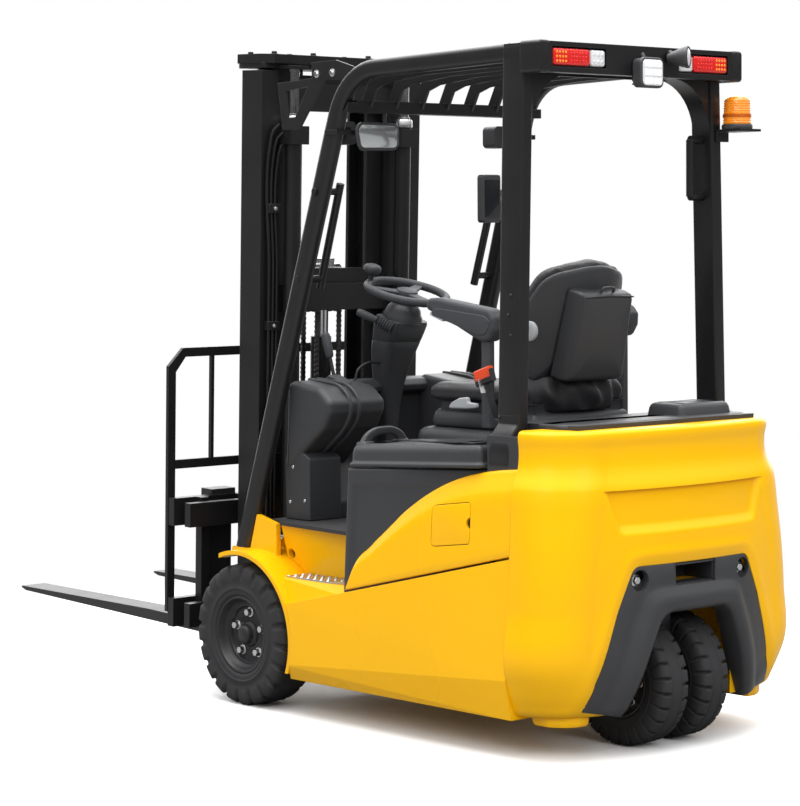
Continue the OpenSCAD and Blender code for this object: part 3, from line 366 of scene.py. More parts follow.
def casting_surface(rows, columns):
    """Grid of height and way round: down the left side, round the corner, over the rear face by a
    parabola and back on the right. The field is pressed in, and the rim of the insert is rolled."""
    knee = casting_levels[:, 0]
    z = np.unique(np.concatenate([np.linspace(knee[0], knee[-1], rows), knee, [643, 650, 676, 771, 773.5, 776]]))
    width, radius, corner_x, bow = (v[:, None] for v in casting_outline(z))
    turn_a = np.linspace(0, np.pi / 2, columns // 6)[None, 1:]
    corner = np.stack([corner_x + radius * (1 - np.sin(turn_a)), width - radius * (1 - np.cos(turn_a))], -1)
    t = np.linspace(1, -1, columns * 2 // 3)[None, 1:-1]
    rear = np.stack([corner_x - bow * (1 - t ** 2), (width - radius) * t], -1)
    straight = np.stack([np.full_like(width, split_x), width], -1)[:, None].reshape(len(z), 1, 2)
    flank = np.stack([corner_x + radius, width], -1).reshape(len(z), 1, 2)
    half = np.concatenate([straight, straight * 0.5 + flank * 0.5, flank, corner], 1)
    level = np.concatenate([half, rear, half[:, ::-1] * [1, -1]], 1)
    x, y = level[..., 0], level[..., 1]
    level_z = np.broadcast_to(z[:, None], x.shape)
    field_half = 290 + 47 * (level_z - field_low) / (field_high - field_low)
    field = ramp(field_half - np.abs(y), -2, 26) * ramp(level_z, field_low,
                                                        field_low + 33) * (level_z < field_high - 1)
    beyond = beyond_insert(y, level_z)
    roll = np.exp(-np.clip(beyond, 0, 80) / 9) * 7 - 3 * np.exp(-((beyond - 34) / 14) ** 2)
    pressed = field_sunk * field * (x < steer_x) + roll * (x < steer_x - 60)
    x = np.minimum(x + pressed, split_x)
    return np.stack([x, y, level_z], -1)


def ring(count):
    """Points of the unit circle."""
    turn_by = np.linspace(0, 2 * np.pi, count, endpoint=False)
    return np.stack([np.cos(turn_by), np.sin(turn_by)], 1)


def prism(outline, low, high, axes=(1, 2, 0)):
    """An outline drawn out straight from low to high; axes say which of X, Y and Z it runs along."""
    outline = np.asarray(outline, float)
    rings = np.empty((2, len(outline), 3))
    rings[..., axes[0]], rings[..., axes[1]] = outline[:, 0], outline[:, 1]
    rings[..., axes[2]] = np.array([low, high])[:, None]
    return loft(rings)


def mirrored(outline):
    """A half outline with Y above 0 and its mirror image."""
    outline = np.asarray(outline, float)
    return np.concatenate([outline, outline[::-1] * [-1, 1]])


def other_side(shape):
    """The mirror image of a shape on the right."""
    return shape[0] * [1, -1, 1], shape[1]


yellow_paint = finish("yellow_paint", yellow_colour, 0.28, drift=0.035, patch=2.5, grain=420, relief=0.004,
                      edge=3.5, Coat_Weight=0.12, Coat_Roughness=0.15, Specular_IOR_Level=0.2)
cast_paint = finish("cast_yellow", yellow_colour, 0.3, drift=0.04, patch=3, grain=160, relief=0.01, edge=3.5,
                    Coat_Weight=0.12, Coat_Roughness=0.18, Specular_IOR_Level=0.2)
counterweight = piece("counterweight_casting", [loft(casting_surface(90, 150))], "chassis", cast_paint,
                      sharp=50)
insert_hole = rounded(mirrored([[393, 60], [393, 160], [302, 430], [243, 555]]), [1, 20, 60, 34, 34, 60, 20, 1])
wheel_arch = rounded(mirrored([[246, 60], [190, 300], [140, 408]]), [1, 60, 70, 70, 60, 1], 10)
wheel_well = np.array([steer_x, 0]) + ring(72) * well_radius
carve(counterweight, prism(insert_hole, steer_x - 300, steer_x - 112), sharp=50)
carve(counterweight, prism(wheel_arch, steer_x - 300, steer_x - 40), sharp=50)
carve(counterweight, prism(wheel_well, 40, 428, (0, 1, 2)), sharp=50)
carve(counterweight, prism(mirrored([[88, 491], [88, 553]]), steer_x - 300, steer_x - 57), sharp=50)
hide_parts("counterweight")
foot_outline = np.array([[split_x - 6, 342], [split_x - 6, 452], [steer_x - 20, 452], [steer_x - 66, 420],
                         [steer_x - 84, 380], [steer_x - 84, 342]])


def foot(side):
    """A foot under the casting: its outline with rounded corners, drawn in towards its sole."""
    edge = rounded(foot_outline * [1, side], [4, 14, 24, 24, 20, 8])
    middle = edge.mean(0)
    sizes = np.array([[1, 150], [1, 112], [0.97, 102], [0.9, 96.5]])
    rings = np.empty((4, len(edge), 3))
    rings[..., :2] = middle + (edge - middle) * sizes[:, :1, None]
    rings[..., 2] = sizes[:, 1:]
    return loft(rings)


piece("counterweight_feet", [foot(1), foot(-1)], "chassis", cast_paint)

# Rear insert: a dark moulded arch round the steered wheels. Its flat field carries two bolts in round
# hollows and the tow notch, and a thick lip runs round the wheels. It is screwed into the casting.
plastic_colour = (0.036, 0.037, 0.04)
dark_plastic = finish("dark_plastic", plastic_colour, 0.42, drift=0.12, patch=6, grain=1400, relief=0.03, edge=2.5,
                      Specular_IOR_Level=0.45)


def along(points, count):
    """The same path with points evenly spaced by its length."""
    points = np.asarray(points, float)
    way = np.concatenate([[0], np.cumsum(np.linalg.norm(np.diff(points, axis=0), axis=1))])
    at = np.linspace(0, way[-1], count)
    return np.stack([np.interp(at, way, points[:, k]) for k in range(points.shape[1])], 1)


arch_count = 141
outer_edge = rounded(mirrored([[396, 60], [396, 146], [302, 430], [243, 555]]), [1, 8, 60, 40, 40, 60, 8, 1], 8)
inner_edge = rounded(mirrored([[258, 60], [258, 118], [192, 300], [141, 412]]), [1, 4, 60, 66, 66, 60, 4, 1], 8)
outer_edge = along(outer_edge[outer_edge[:, 1] > 128], arch_count)
inner_edge = along(inner_edge[inner_edge[:, 1] > 112], arch_count)
# share of the way from the outer edge to the arch, and how far the face stands out there
lip_profile = np.array([[0, -14], [0.0, -5], [0.02, -2.5], [0.36, -2], [0.44, -1], [0.5, 3], [0.62, 15], [0.74, 22],
                        [0.86, 22], [0.95, 15], [1.0, 2], [1.0, -60]])


def insert_surface():
    """Profile carried round the arch: each point lies between the outer and the inner edge and stands out
    from the casting's own rear face."""
    share, out = lip_profile[:, 0][:, None], lip_profile[:, 1][:, None]
    y = outer_edge[None, :, 0] * (1 - share) + inner_edge[None, :, 0] * share
    z = outer_edge[None, :, 1] * (1 - share) + inner_edge[None, :, 1] * share
    x = rear_x(y, z) - out
    return np.stack([x, y, z], -1).transpose(1, 0, 2)


insert = piece("rear_insert", [loft(insert_surface())], "chassis", dark_plastic, sharp=45)
bolt_y, bolt_z = 221, 513
for side in (1, -1):
    carve(insert, prism(ring(40) * 31 + [side * bolt_y, bolt_z], steer_x - 300, steer_x - 148), sharp=45)
carve(insert, prism(mirrored([[84, 489], [88, 600]]), steer_x - 300, steer_x - 60), sharp=45)
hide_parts("rear_fender")
backing = rounded(mirrored([[300, 440], [244, 553]]), [10, 30, 30, 10])
backing_plate = piece("insert_backing", [prism(backing, steer_x - 136, steer_x - 113)], "chassis", dark_plastic)
carve(backing_plate, prism(mirrored([[86, 489], [86, 600]]), steer_x - 300, steer_x - 60))
pocket_back = prism(mirrored([[86, 492], [86, 551]]), steer_x - 62, steer_x - 57.5)
pocket_roof = prism(mirrored([[86, 546], [86, 552]]), steer_x - 178, steer_x - 60)
pocket_wall = prism([[82, 492], [87, 492], [87, 551], [82, 551]], steer_x - 172, steer_x - 60)
pocket_shelf = prism(mirrored([[86, 484], [86, 491.5]]), steer_x - 176, steer_x - 112)
piece("tow_pocket_lining", [pocket_back, pocket_roof, pocket_wall, other_side(pocket_wall), pocket_shelf],
      "chassis", dark_plastic)
bright_steel = finish("bright_steel", (0.72, 0.72, 0.73), 0.25, drift=0.1, patch=30, grain=300, edge=0.8,
                      Metallic=1.0)


def spun(profile, centre, axis, sides=48):
    """A profile of (radius, way along) turned round an axis through a point."""
    profile = np.asarray(profile, float)
    axis = np.asarray(axis, float) / np.linalg.norm(axis)
    side = np.cross(axis, [0, 0, 1] if abs(axis[2]) < 0.9 else [1, 0, 0])
    side /= np.linalg.norm(side)
    round_axis = ring(sides) @ np.stack([side, np.cross(axis, side)])
    return loft(profile[:, :1, None] * round_axis + profile[:, 1:, None] * axis + np.asarray(centre, float))


def hex_bolts(places, size, height, axis, disc=1.25):
    """Hexagon heads on round washers, all along one axis: a ring of six with a small chamfer on a disc, set
    at each place."""
    scale = [size / 2, height]
    head = np.array([[1, 0.1], [1, 0.86], [0.86, 1.0]]) * scale
    washer = np.array([[disc, 0], [disc, 0.16], [disc * 0.94, 0.2]]) * scale
    return [spun(form, at, axis, sides) for at in places for form, sides in ((head, 6), (washer, 24))]


insert_bolts = hex_bolts([[steer_x - 147, s * bolt_y, bolt_z] for s in (1, -1)], 24, 13, (-1, 0, 0), 1.5)
piece("insert_bolts", insert_bolts, "chassis", bright_steel)

# Side panels: yellow pressings over the battery, with a wide chamfer along the arc of their upper edge and a
# dark joint above the sill. The left one has a small door over the charging socket.
crease_z, side_half, lean = 239, 545, np.tan(np.radians(3.3))
ridge_front_x, ridge_front_z, ridge_rear_z = -260, 356, 582
lip_front_x, lip_front_z, lip_rear_z = -515, 800, 838
arc_x = -np.array([528, 560, 640, 720, 787, 880, 980, 1095, 1180, 1256])
arc_z = np.array([417, 492, 572, 640, 690, 745, 788, 818, 831, 838])


def ridge_z(x):
    """Height of the straight ridge that rises from the front arch to the counterweight."""
    return ridge_front_z + (ridge_rear_z - ridge_front_z) * (x - ridge_front_x) / (split_x - ridge_front_x)


def lip_z(x):
    """Height of the straight joint under the hood."""
    return lip_front_z + (lip_rear_z - lip_front_z) * (x - lip_front_x) / (split_x - lip_front_x)


def side_rings(x, z, depth, back):
    """Rings along X on the leaning side of the body: each point lies depth inside the side's plane, and the
    ring is closed by a straight inner wall."""
    x = np.broadcast_to(x, z.shape)
    front = np.stack([x, side_half - (z - crease_z) * lean - depth, z], -1)
    rear_low, rear_high = front[:, :1].copy(), front[:, -1:].copy()
    rear_low[..., 1], rear_high[..., 1] = rear_low[..., 1] - back, rear_high[..., 1] - back
    return np.concatenate([rear_low, front, rear_high], 1)


def panel_rings():
    """Rows from the joint up to the arc: flat below, then a chamfer that widens from the front tip."""
    x = np.concatenate([-np.linspace(533, 640, 24), -np.linspace(648, -split_x - 3, 60)])[:, None]
    top, low = eased(-x, -arc_x, arc_z), ridge_z(x) + 7
    band = 66 * (1 - np.exp(-(-x - 528) / 160))
    band = np.minimum(band, (top - low) * 0.8)
    inner = top - band
    flat = np.linspace(0, 1, 9)[None, 1:-1]
    slope = np.linspace(0, 1, 8)[None]
    edge = 4
    z = np.concatenate([low, low + 1.2, low + edge, low + edge + (inner - low - edge) * flat,
                        inner + band * slope * 0.97, top - 0.6, top], 1)
    sunk = 0.32 * band
    depth = np.concatenate([edge + 0 * x, 1.2 + 0 * x, 0 * x, 0 * flat + 0 * x,
                            sunk * ramp(slope, -0.35, 1.35) * 1.18 - sunk * 0.09, sunk + 2, sunk + 6], 1)
    return side_rings(x, z, np.maximum(depth, 0), 14)


panel_left = piece("panel_left", [loft(panel_rings())], "chassis", yellow_paint, sharp=55)
piece("panel_right", [other_side(loft(panel_rings()))], "chassis", yellow_paint, sharp=55)
door_corners = np.array([[-918, 592], [-918, 712], [-1082, 733], [-1082, 612]])
door_middle = door_corners.mean(0)
door_hole = rounded(door_middle + (door_corners - door_middle) * [1.022, 1.03], [14, 22, 10, 10])
carve(panel_left, prism(door_hole, 440, 600, (0, 2, 1)), sharp=55)
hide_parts("side_panels")


def side_plate(outline, depth, thick, edge):
    """A plate on the leaning side: its outline, drawn in by a quarter round at the outer face."""
    outline = np.asarray(outline, float)
    middle = outline.mean(0)
    reach = np.abs(outline - middle).max()
    turn_in = np.linspace(0, np.pi / 2, 5)
    sizes = np.concatenate([[1], 1 - edge * (1 - np.cos(turn_in)) / reach])
    depths = depth + np.concatenate([[thick], edge * (1 - np.sin(turn_in))])
    flat = middle + (outline - middle) * sizes[:, None, None]
    y = side_half - (flat[..., 1] - crease_z) * lean - depths[:, None]
    return loft(np.stack([flat[..., 0], y, flat[..., 1]], -1))


charge_door = piece("charge_door", [side_plate(rounded(door_corners, [12, 20, 8, 8]), -0.6, 9, 2)], "flap",
                    yellow_paint)
circle = ring(36)
finger_middle = np.array([-1084, 671])
carve(charge_door, prism(finger_middle + circle * 17, 440, 600, (0, 2, 1)))
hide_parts("charge_flap")
socket_black = finish("socket_black", (0.012, 0.014, 0.013), 0.6, edge=1.0)
socket_tray = side_plate(rounded(door_middle + (door_corners - door_middle) * 1.06, [14, 22, 10, 10]), 13.5, 6, 1)
socket_middle, pin_places = door_middle + [16, 0], np.array([[-16, 0], [16, 0], [0, 18]])
socket_ring = side_plate(socket_middle + circle * 40, 9.6, 4, 1.5)
socket_pins = [side_plate(socket_middle + at + circle * 8, 9.2, 3, 1) for at in pin_places]
piece("charge_socket", [socket_tray, socket_ring] + socket_pins, "chassis", socket_black)

# Dark covers: moulded panels between the front edge of the battery box and the yellow arc, with a raised
# frame round a sunk field. They are clipped to the frame behind the yellow panels.


def cover_rings():
    """Rows from the ridge to the lip, columns from the rounded front edge back: the face steps in by a few
    millimetres inside its frame and runs deeper towards the rear, under the arc."""
    x = -np.concatenate([[515, 515.5, 517, 520, 525], np.linspace(530, 1130, 80)])[:, None]
    share = np.concatenate([[0, 0.004, 0.012], np.linspace(0.02, 0.97, 60), [0.985, 0.995, 1.0]])[None]
    low, high = ridge_z(x) + 2, lip_z(x) - 2
    z = low + (high - low) * share
    front_round = np.maximum(0, 10 - np.sqrt(np.maximum(0, 100 - np.clip(525 + x, 0, 10) ** 2)))
    top_round = 5 * (1 - np.sqrt(1 - np.clip((z - high + 5) / 5, 0, 1) ** 2))
    field = ramp(-x, 545, 556) * ramp(high - z, 46, 57)
    depth = 6 + 30 * ramp(-x, 620, 1200) + front_round + top_round + 5 * field
    return side_rings(x, z, depth, 26)


cover_left = piece("cover_left", [loft(cover_rings())], "chassis", dark_plastic, sharp=60)
piece("cover_right", [other_side(loft(cover_rings()))], "chassis", dark_plastic, sharp=60)
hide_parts("side_covers")

# Frame, sills and fenders: welded and folded plate in the body's yellow, kept from the solids. A plug closes
# the hole in the toe space, and an aluminium tread with raised lozenges lies on each step.
for node in ("chassis_frame", "front_frame"):
    dress(node, yellow_paint)
tread_top, plug_y, plug_radius = 435.3, 396, 15.5
lozenge_columns, lozenge_rows, lozenge_gap_x, lozenge_gap_y = 18, 6, 16.2, 15.5
plug_outline = np.array([-132, 494]) + circle * plug_radius
plug_shape = [prism(plug_outline, s * plug_y - 3, s * plug_y + 3, (0, 2, 1)) for s in (1, -1)]
piece("toe_plugs", plug_shape, "chassis", socket_black)
tread_metal = finish("step_aluminium", (0.62, 0.63, 0.65), 0.32, drift=0.1, patch=30, grain=500, relief=0.02,
                     edge=1.2, Metallic=1.0)
dress("step_treads", tread_metal)


def lozenges(side):
    """Raised lozenges in rows that lean alternately, each a low roof of four slopes on the tread."""
    column, row = np.meshgrid(np.arange(lozenge_columns), np.arange(lozenge_rows), indexing="ij")
    x, y = -206 - lozenge_gap_x * column.ravel(), side * (414 + lozenge_gap_y * row.ravel())
    keep = (x > -490) & ((np.abs(y) < 462) | (x > -412))
    x, y = x[keep], y[keep]
    slant = np.where((column + row).ravel()[keep] % 2, 1, -1) * np.radians(45)
    base = np.array([[7, 0, 0], [0, 2.6, 0], [-7, 0, 0], [0, -2.6, 0], [3, 0, 1.8], [-3, 0, 1.8], [0, 0, -0.5]])
    u = base[None, :, 0] * np.cos(slant)[:, None] - base[None, :, 1] * np.sin(slant)[:, None]
    v = base[None, :, 0] * np.sin(slant)[:, None] + base[None, :, 1] * np.cos(slant)[:, None]
    points = np.stack([x[:, None] + u, y[:, None] + v, tread_top + base[None, :, 2] + 0 * u], -1)
    start = 7 * np.arange(len(x))[:, None]
    quads = np.array([[0, 1, 5, 4], [2, 3, 4, 5]])
    tris = np.array([[0, 4, 3], [1, 2, 5], [0, 3, 6], [3, 2, 6], [2, 1, 6], [1, 0, 6]])
    return points.reshape(-1, 3), [(start[:, :, None] + quads).reshape(-1, 4),
                                   (start[:, :, None] + tris).reshape(-1, 3)]


piece("tread_lozenges", [lozenges(1), lozenges(-1)], "chassis", tread_metal, sharp=20)

# Hood: a moulded lid over the battery with a bead along its lower edge and softly rounded shoulders. A raised
# platform carries the seat, and a grab loop at the left front lifts it about the hinges behind.
hood_front, hood_back, hood_half = -505, -1112, 508


def inward(outline):
    """Unit normals into a closed outline: square to the chord between each point's neighbours, on the side
    that the sign of the enclosed area gives."""
    chord = np.roll(outline, -1, 0) - np.roll(outline, 1, 0)
    normal = np.stack([-chord[:, 1], chord[:, 0]], 1) / np.linalg.norm(chord, axis=1)[:, None]
    ahead = np.roll(outline, -1, 0)
    return np.sign(np.sum(outline[:, 0] * ahead[:, 1] - outline[:, 1] * ahead[:, 0])) * normal


def level_base(x):
    """A base line of height 0."""
    return 0 * x


def lid(outline, steps, base=level_base):
    """A lid as rings of one outline: each step has an inset from the edge and a height over a base line, whose
    height depends on X."""
    outline, steps = np.asarray(outline, float), np.asarray(steps, float)
    flat = outline[None] + inward(outline)[None] * steps[:, :1, None]
    z = steps[:, 1:] + base(flat[..., 0])
    return loft(np.concatenate([flat, z[..., None]], -1))


hood_outline = rounded([[hood_front, -hood_half], [hood_front, hood_half], [hood_back, hood_half],
                        [hood_back, -hood_half]], [42, 42, 26, 26], 10)
bead = [[14, 4], [3, 3], [0, 5], [-1, 9], [0, 13], [4, 16], [7, 19], [8, 24], [9, 44], [11, 54], [15, 62], [22, 68],
        [32, 71.5], [48, 73], [90, 75], [140, 76]]
platform_outline = rounded([[-528, -262], [-528, 262], [-1040, 262], [-1040, -262]], [70, 70, 40, 40], 8)
platform_steps = [[0, 66], [0, 84], [6, 98], [16, 106], [30, 109.5], [60, 110]]
crown = lid(platform_outline, platform_steps, lambda x: lip_z(np.full_like(x, -800)) - 10)
hood = piece("hood_lid_shell", [lid(hood_outline, bead, lip_z), crown], "hood_lid", dark_plastic,
             sharp=50)
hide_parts("hood")


def spine(points, count):
    """A smooth path through a few points: cubic pieces whose slopes are those of the neighbours' chords."""
    points = np.asarray(points, float)
    knots = np.concatenate([[0], np.cumsum(np.linalg.norm(np.diff(points, axis=0), axis=1))])
    at = np.linspace(0, knots[-1], count)
    return np.stack([eased(at, knots, points[:, k]) for k in range(3)], 1)


def sweep(path, profile, up=(0, 0, 1), lids=True):
    """A closed profile of (across, up) carried along a path; it may change along the way."""
    path, profile = np.asarray(path, float), np.asarray(profile, float)
    ahead = np.gradient(path, axis=0)
    ahead /= np.linalg.norm(ahead, axis=1, keepdims=True)
    beside = np.cross(np.broadcast_to(np.asarray(up, float), path.shape), ahead)
    beside /= np.linalg.norm(beside, axis=1, keepdims=True)
    above = np.cross(ahead, beside)
    profile = np.broadcast_to(profile, (len(path),) + profile.shape[-2:])
    rings = path[:, None] + beside[:, None] * profile[..., :1] + above[:, None] * profile[..., 1:]
    return loft(rings, lids)


def tube(path, diameter, sides=14, up=(0, 0, 1)):
    """A round bar along a path."""
    return sweep(path, ring(sides) * diameter / 2, up)


def bar_profile(width, height, radius, steps=4):
    """A rectangle with rounded corners, as a profile."""
    w, h = width / 2, height / 2
    return rounded([[-w, -h], [w, -h], [w, h], [-w, h]], radius, steps)


def hood_pad(low_x, high_x, y, radius, steps):
    """A rounded pad on the hood, 52 mm wide."""
    corners = [[low_x, y - 26], [high_x, y - 26], [high_x, y + 26], [low_x, y + 26]]
    return lid(rounded(corners, radius), steps, lip_z)


grab_x, grab_y, hinge_y = -539, 378, 330
loop_rise = ((76, 868), (66, 888), (40, 904), (0, 909), (-40, 905), (-66, 890), (-76, 872))
loop_path = spine([[grab_x, grab_y + y, z] for y, z in loop_rise], 40)
loop_widths = np.linspace(-1, 1, 40)[:, None, None] ** 4 * 0.5 + 1
grab_loop = sweep(loop_path, bar_profile(26, 17, 7)[None] * loop_widths, up=(1, 0, 0))
loop_foot = [[0, 60], [0, 71], [3, 75], [8, 77]]
loop_feet = [hood_pad(grab_x - 24, grab_x + 24, y, 14, loop_foot) for y in (grab_y - 72, grab_y + 72)]
piece("hood_grab_loop", [grab_loop] + loop_feet, "hood_lid", dark_plastic)
hinge_pin = np.array([-1118, 915]) + circle * 10
hinge_bosses = [prism(hinge_pin, s * hinge_y - 29, s * hinge_y + 29, (0, 2, 1)) for s in (1, -1)]
hinge_bosses += [hood_pad(-1112, -1060, s * hinge_y, 8, [[0, 60], [0, 80], [3, 84]]) for s in (1, -1)]
piece("hood_hinges", hinge_bosses, "hood_lid", dark_plastic)

# Deck: the moulded cover over the top of the counterweight, with a rounded lid behind and the raised box for
# the fuses on its right. It is pressed onto clips; the battery below is a plain steel case.
dress("deck_cover", dark_plastic)
dress("battery", finish("battery_case", (0.1, 0.1, 0.105), 0.5))
deck_outline = rounded([[split_x - 118, -392], [split_x - 118, 392], [split_x + 20, 392], [split_x + 20, -392]],
                       [60, 60, 8, 8], 8)
deck_lid = lid(deck_outline, [[0, 948.5], [0, 957], [3, 962], [9, 964.5], [30, 965.5], [60, 966]])
fuse_corners = [[split_x - 96, -330], [split_x - 96, -96], [split_x + 60, -96], [split_x + 60, -330]]
fuse_outline = rounded(fuse_corners, 26)
fuse_box = lid(fuse_outline, [[0, 958], [6, 986], [12, 996], [24, 1001], [44, 1002]])
piece("deck_lid", [deck_lid, fuse_box], "chassis", dark_plastic, sharp=50)

# Front wheels: solid rubber tyres with staggered shoulder lugs on black pressed rims. Five bright nuts hold
# each rim to its hub, round a turned cap.
rubber = finish("tyre_rubber", (0.03, 0.03, 0.032), 0.72, drift=0.2, patch=20, grain=900, relief=0.04, edge=1.5,
                Specular_IOR_Level=0.35)
rim_paint = finish("rim_black", (0.018, 0.018, 0.02), 0.42, drift=0.15, patch=14, relief=0.01, edge=1.5)


def middle_of(node):
    """Centre of a CAD node's box in the truck's own millimetres, and the box's size."""
    low, high = (np.array(corner) * 1000 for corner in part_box(node))
    return (low + high) / 2 - [axle_x, 0, 0], high - low


def tyre(centre, radius, half, bore, lugs, groove, slant, shoulder):
    """Grid of way round and profile: sidewall with a raised ring, rounded shoulder and a flat tread. Grooves
    run in from both shoulders, staggered from side to side, and sink the tread by a smooth step."""
    theta = np.linspace(0, 2 * np.pi, lugs * 14, endpoint=False)[:, None]
    # way out from the bore or in from the tread, and share of the half width
    wall = [[0, 0.80], [3, 0.90], [10, 0.955], [20, 0.945], [23, 0.985], [27, 0.99], [31, 0.95]]
    tread = [[58, 0.955], [50, 0.975], [43, 1.0], [30, 1.0], [20, 0.985], [11, 0.95], [5, 0.885], [1.5, 0.80],
             [0, 0.70], [0, 0.52], [0, 0.40], [0, 0.33], [0, 0.24], [0, 0.1]]
    base = np.concatenate([[bore, 0] + np.array(wall), [radius, 0] + np.array(tread) * [-1, 1]])
    base = np.concatenate([base, base[::-1] * [1, -1]])
    r, v = base[None, :, 0], base[None, :, 1]
    phase = (theta * lugs / (2 * np.pi) + np.where(v > 0, 0, 0.5) + slant * np.abs(v)) % 1
    cut = 1 - ramp(np.abs(phase - 0.5), groove * 0.5, groove * 0.5 + 0.07)
    deep = ramp(np.abs(v), shoulder, shoulder + 0.12) * ramp(r, radius - 50, radius - 36)
    sunk_r = r - 11 * cut * deep * ramp(r, radius - 30, radius - 6)
    sunk_v = v - np.sign(v) * 0.1 * cut * deep * ramp(np.abs(v), 0.8, 0.98)
    line = np.exp(-((np.abs(v) - 0.33) / 0.03) ** 2) * ramp(r, radius - 6, radius - 1)
    sunk_r = sunk_r - 2.5 * line
    points = np.stack([sunk_r * np.cos(theta), sunk_v * half + 0 * theta, sunk_r * np.sin(theta)], -1) + centre
    count, n = points.shape[:2]
    return points.reshape(-1, 3), [grid_faces(count, n, True, True)]


def nuts_round(centre, side, count, start, radius, out, size, height):
    """Wheel nuts evenly round an axle, at a radius and a distance out from the wheel's middle."""
    turn_by = np.radians(start + 360 / count * np.arange(count))
    seats = np.stack([radius * np.cos(turn_by), np.full(count, side * out), radius * np.sin(turn_by)], 1)
    return hex_bolts(centre + seats, size, height, (0, side, 0), 1.3)


rim_dish = [[30, 12], [98, 12], [112, -57], [124.5, -60], [124.5, 57], [127, 61], [126.5, 66], [123, 68],
            [118, 66.5], [114, 60], [110, 50], [106, 43], [99, 38], [95, 39], [92, 38], [89, 33], [86, 26],
            [80, 23.5], [60, 23], [53, 25], [47, 27], [30, 27]]
hub_cap = [[2, 20], [43, 20], [43, 30], [39, 35], [35, 37], [32, 39], [30, 52], [26, 58], [16, 61], [2, 62]]
for side, body, tyre_node, rim_node in ((1, "front_wheel_left", "tyre_left", "rim_left"),
                                        (-1, "front_wheel_right", "tyre_right", "rim_right")):
    centre, size = middle_of(tyre_node)
    front_tyre = piece(tyre_node + "_tread", [tyre(centre, size[2] / 2, size[1] / 2, 125, 20, 0.2, 0.28, 0.36)],
                       body, rubber, sharp=45)
    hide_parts(tyre_node)
    rim = piece(rim_node + "_dish", [spun(form, centre, (0, side, 0), 64) for form in (rim_dish, hub_cap)], body,
                rim_paint, sharp=40)
    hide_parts(rim_node)
    piece(rim_node + "_nuts", nuts_round(centre, side, 5, 90, 70, 23, 25, 19), body, bright_steel)
dress("drive_hubs", rim_paint)

# Rear wheels: twin solid tyres close together on one steered turntable, with slits across their treads. The
# turntable and its fork are machined castings in black.
rear_centre, rear_size = middle_of("rear_tyres")
rear_half = 57.5
rear_dish = [[26, 6], [90, 6], [98, -45], [107.5, -47], [107.5, 45], [109.5, 49], [107, 52.5], [102, 52], [97, 44],
             [91, 31], [84, 27], [60, 26], [44, 28], [26, 28]]
rear_cap = [[2, 24], [38, 24], [37, 41], [30, 45], [16, 47], [2, 47.5]]
rear_shapes, rear_rims, rear_nuts = [], [], []
for side in (1, -1):
    middle = rear_centre + [0, side * (rear_size[1] / 2 - rear_half), 0]
    rear_shapes.append(tyre(middle, rear_size[2] / 2, rear_half, 108, 26, 0.12, 0.16, 0.4))
    rear_rims += [spun(form, middle, (0, side, 0), 64) for form in (rear_dish, rear_cap)]
    rear_nuts += nuts_round(middle, side, 6, 0, 66, 26, 20, 15)
rear_tyres = piece("rear_tyre_treads", rear_shapes, "rear_wheels", rubber, sharp=45)
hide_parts("rear_tyres")
rims = piece("rear_rim_dishes", rear_rims, "rear_wheels", rim_paint)
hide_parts("rear_rims")
piece("rear_rim_nuts", rear_nuts, "rear_wheels", bright_steel)
dress("steer_unit", rim_paint)

# Overhead guard: two bent tubes of flat section run from the fenders over a round knee to the rear posts,
# leaning in a little. Blades across the roof and a box beam behind are welded between them. All is black.
guard_h, fender_top, guard_lean = 2063, 488, np.tan(np.radians(1.5))
post_x, post_y = -1169, 440
black_paint = finish("black_paint", (0.011, 0.011, 0.012), 0.34, drift=0.12, patch=7, grain=900, relief=0.014,
                     edge=3.0, Specular_IOR_Level=0.5)


def bent(points, radius, steps=10):
    """An open path in a plane whose inner corners are arcs."""
    points = np.asarray(points, float)
    turns = rounded(points, [0.5] + [radius] * (len(points) - 2) + [0.5], steps).reshape(len(points), steps + 1, 2)
    return np.concatenate([points[:1], turns[1:-1].reshape(-1, 2), points[-1:]])


def leaning(path, middle, side):
    """A path of (X, Z) as points in space on one side of the guard, which leans inward over the fenders."""
    y = middle - (path[:, 1] - fender_top) * guard_lean
    return np.stack([path[:, 0], side * y, path[:, 1]], 1)


def front_tube(side):
    """The bent tube: its section narrows from the post to the roof."""
    path = along(bent([[82, 497], [-407, 2019], [-1206, 2035.5]], 190, 16), 90)
    depth = 68 - 13 * ramp(np.linspace(0, 1, 90), 0.55, 0.75)
    profile = bar_profile(68, 44, 20, 7)[None] * np.stack([depth / 68, np.ones(90)], 1)[:, None]
    return sweep(leaning(path, post_y, side), profile, up=(0, 1, 0))


def rear_post(side):
    """The upright tube behind the seat."""
    path = along([[post_x, 701], [post_x, 2058]], 12)
    return sweep(leaning(path, post_y, side), bar_profile(44, 88, 9, 5), up=(1, 0, 0))


def post_shoe(side):
    """The post's foot: it steps out over the cover's shoulder and ends above the lip."""
    steps = ((427.5, 985), (431, 955), (455, 925), (464.5, 900), (465, 844))
    path = spine([[post_x, side * y, z] for y, z in steps], 24)
    return sweep(path, bar_profile(42, 86, 9, 5), up=(1, 0, 0))


guard_sides = piece("guard_sides", [shape(s) for shape in (front_tube, rear_post, post_shoe) for s in (1, -1)],
                    "chassis", black_paint, sharp=40)
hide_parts("overhead_guard")
dress("roof", black_paint)
dress("guard_fittings", black_paint)


def facing(shape, way):
    """Turns a lid, drawn flat with its top up, so that its top looks back or to the front."""
    u, v, h = shape[0].T
    turned_to = {"back": (-h, u, v), "front": (h, u, v), "up": (u, v, h)}[way]
    return np.stack(turned_to, 1), shape[1]


def span(side, near, far):
    """Two distances from the middle as the lower and the higher Y on one side."""
    return sorted((side * near, side * far))


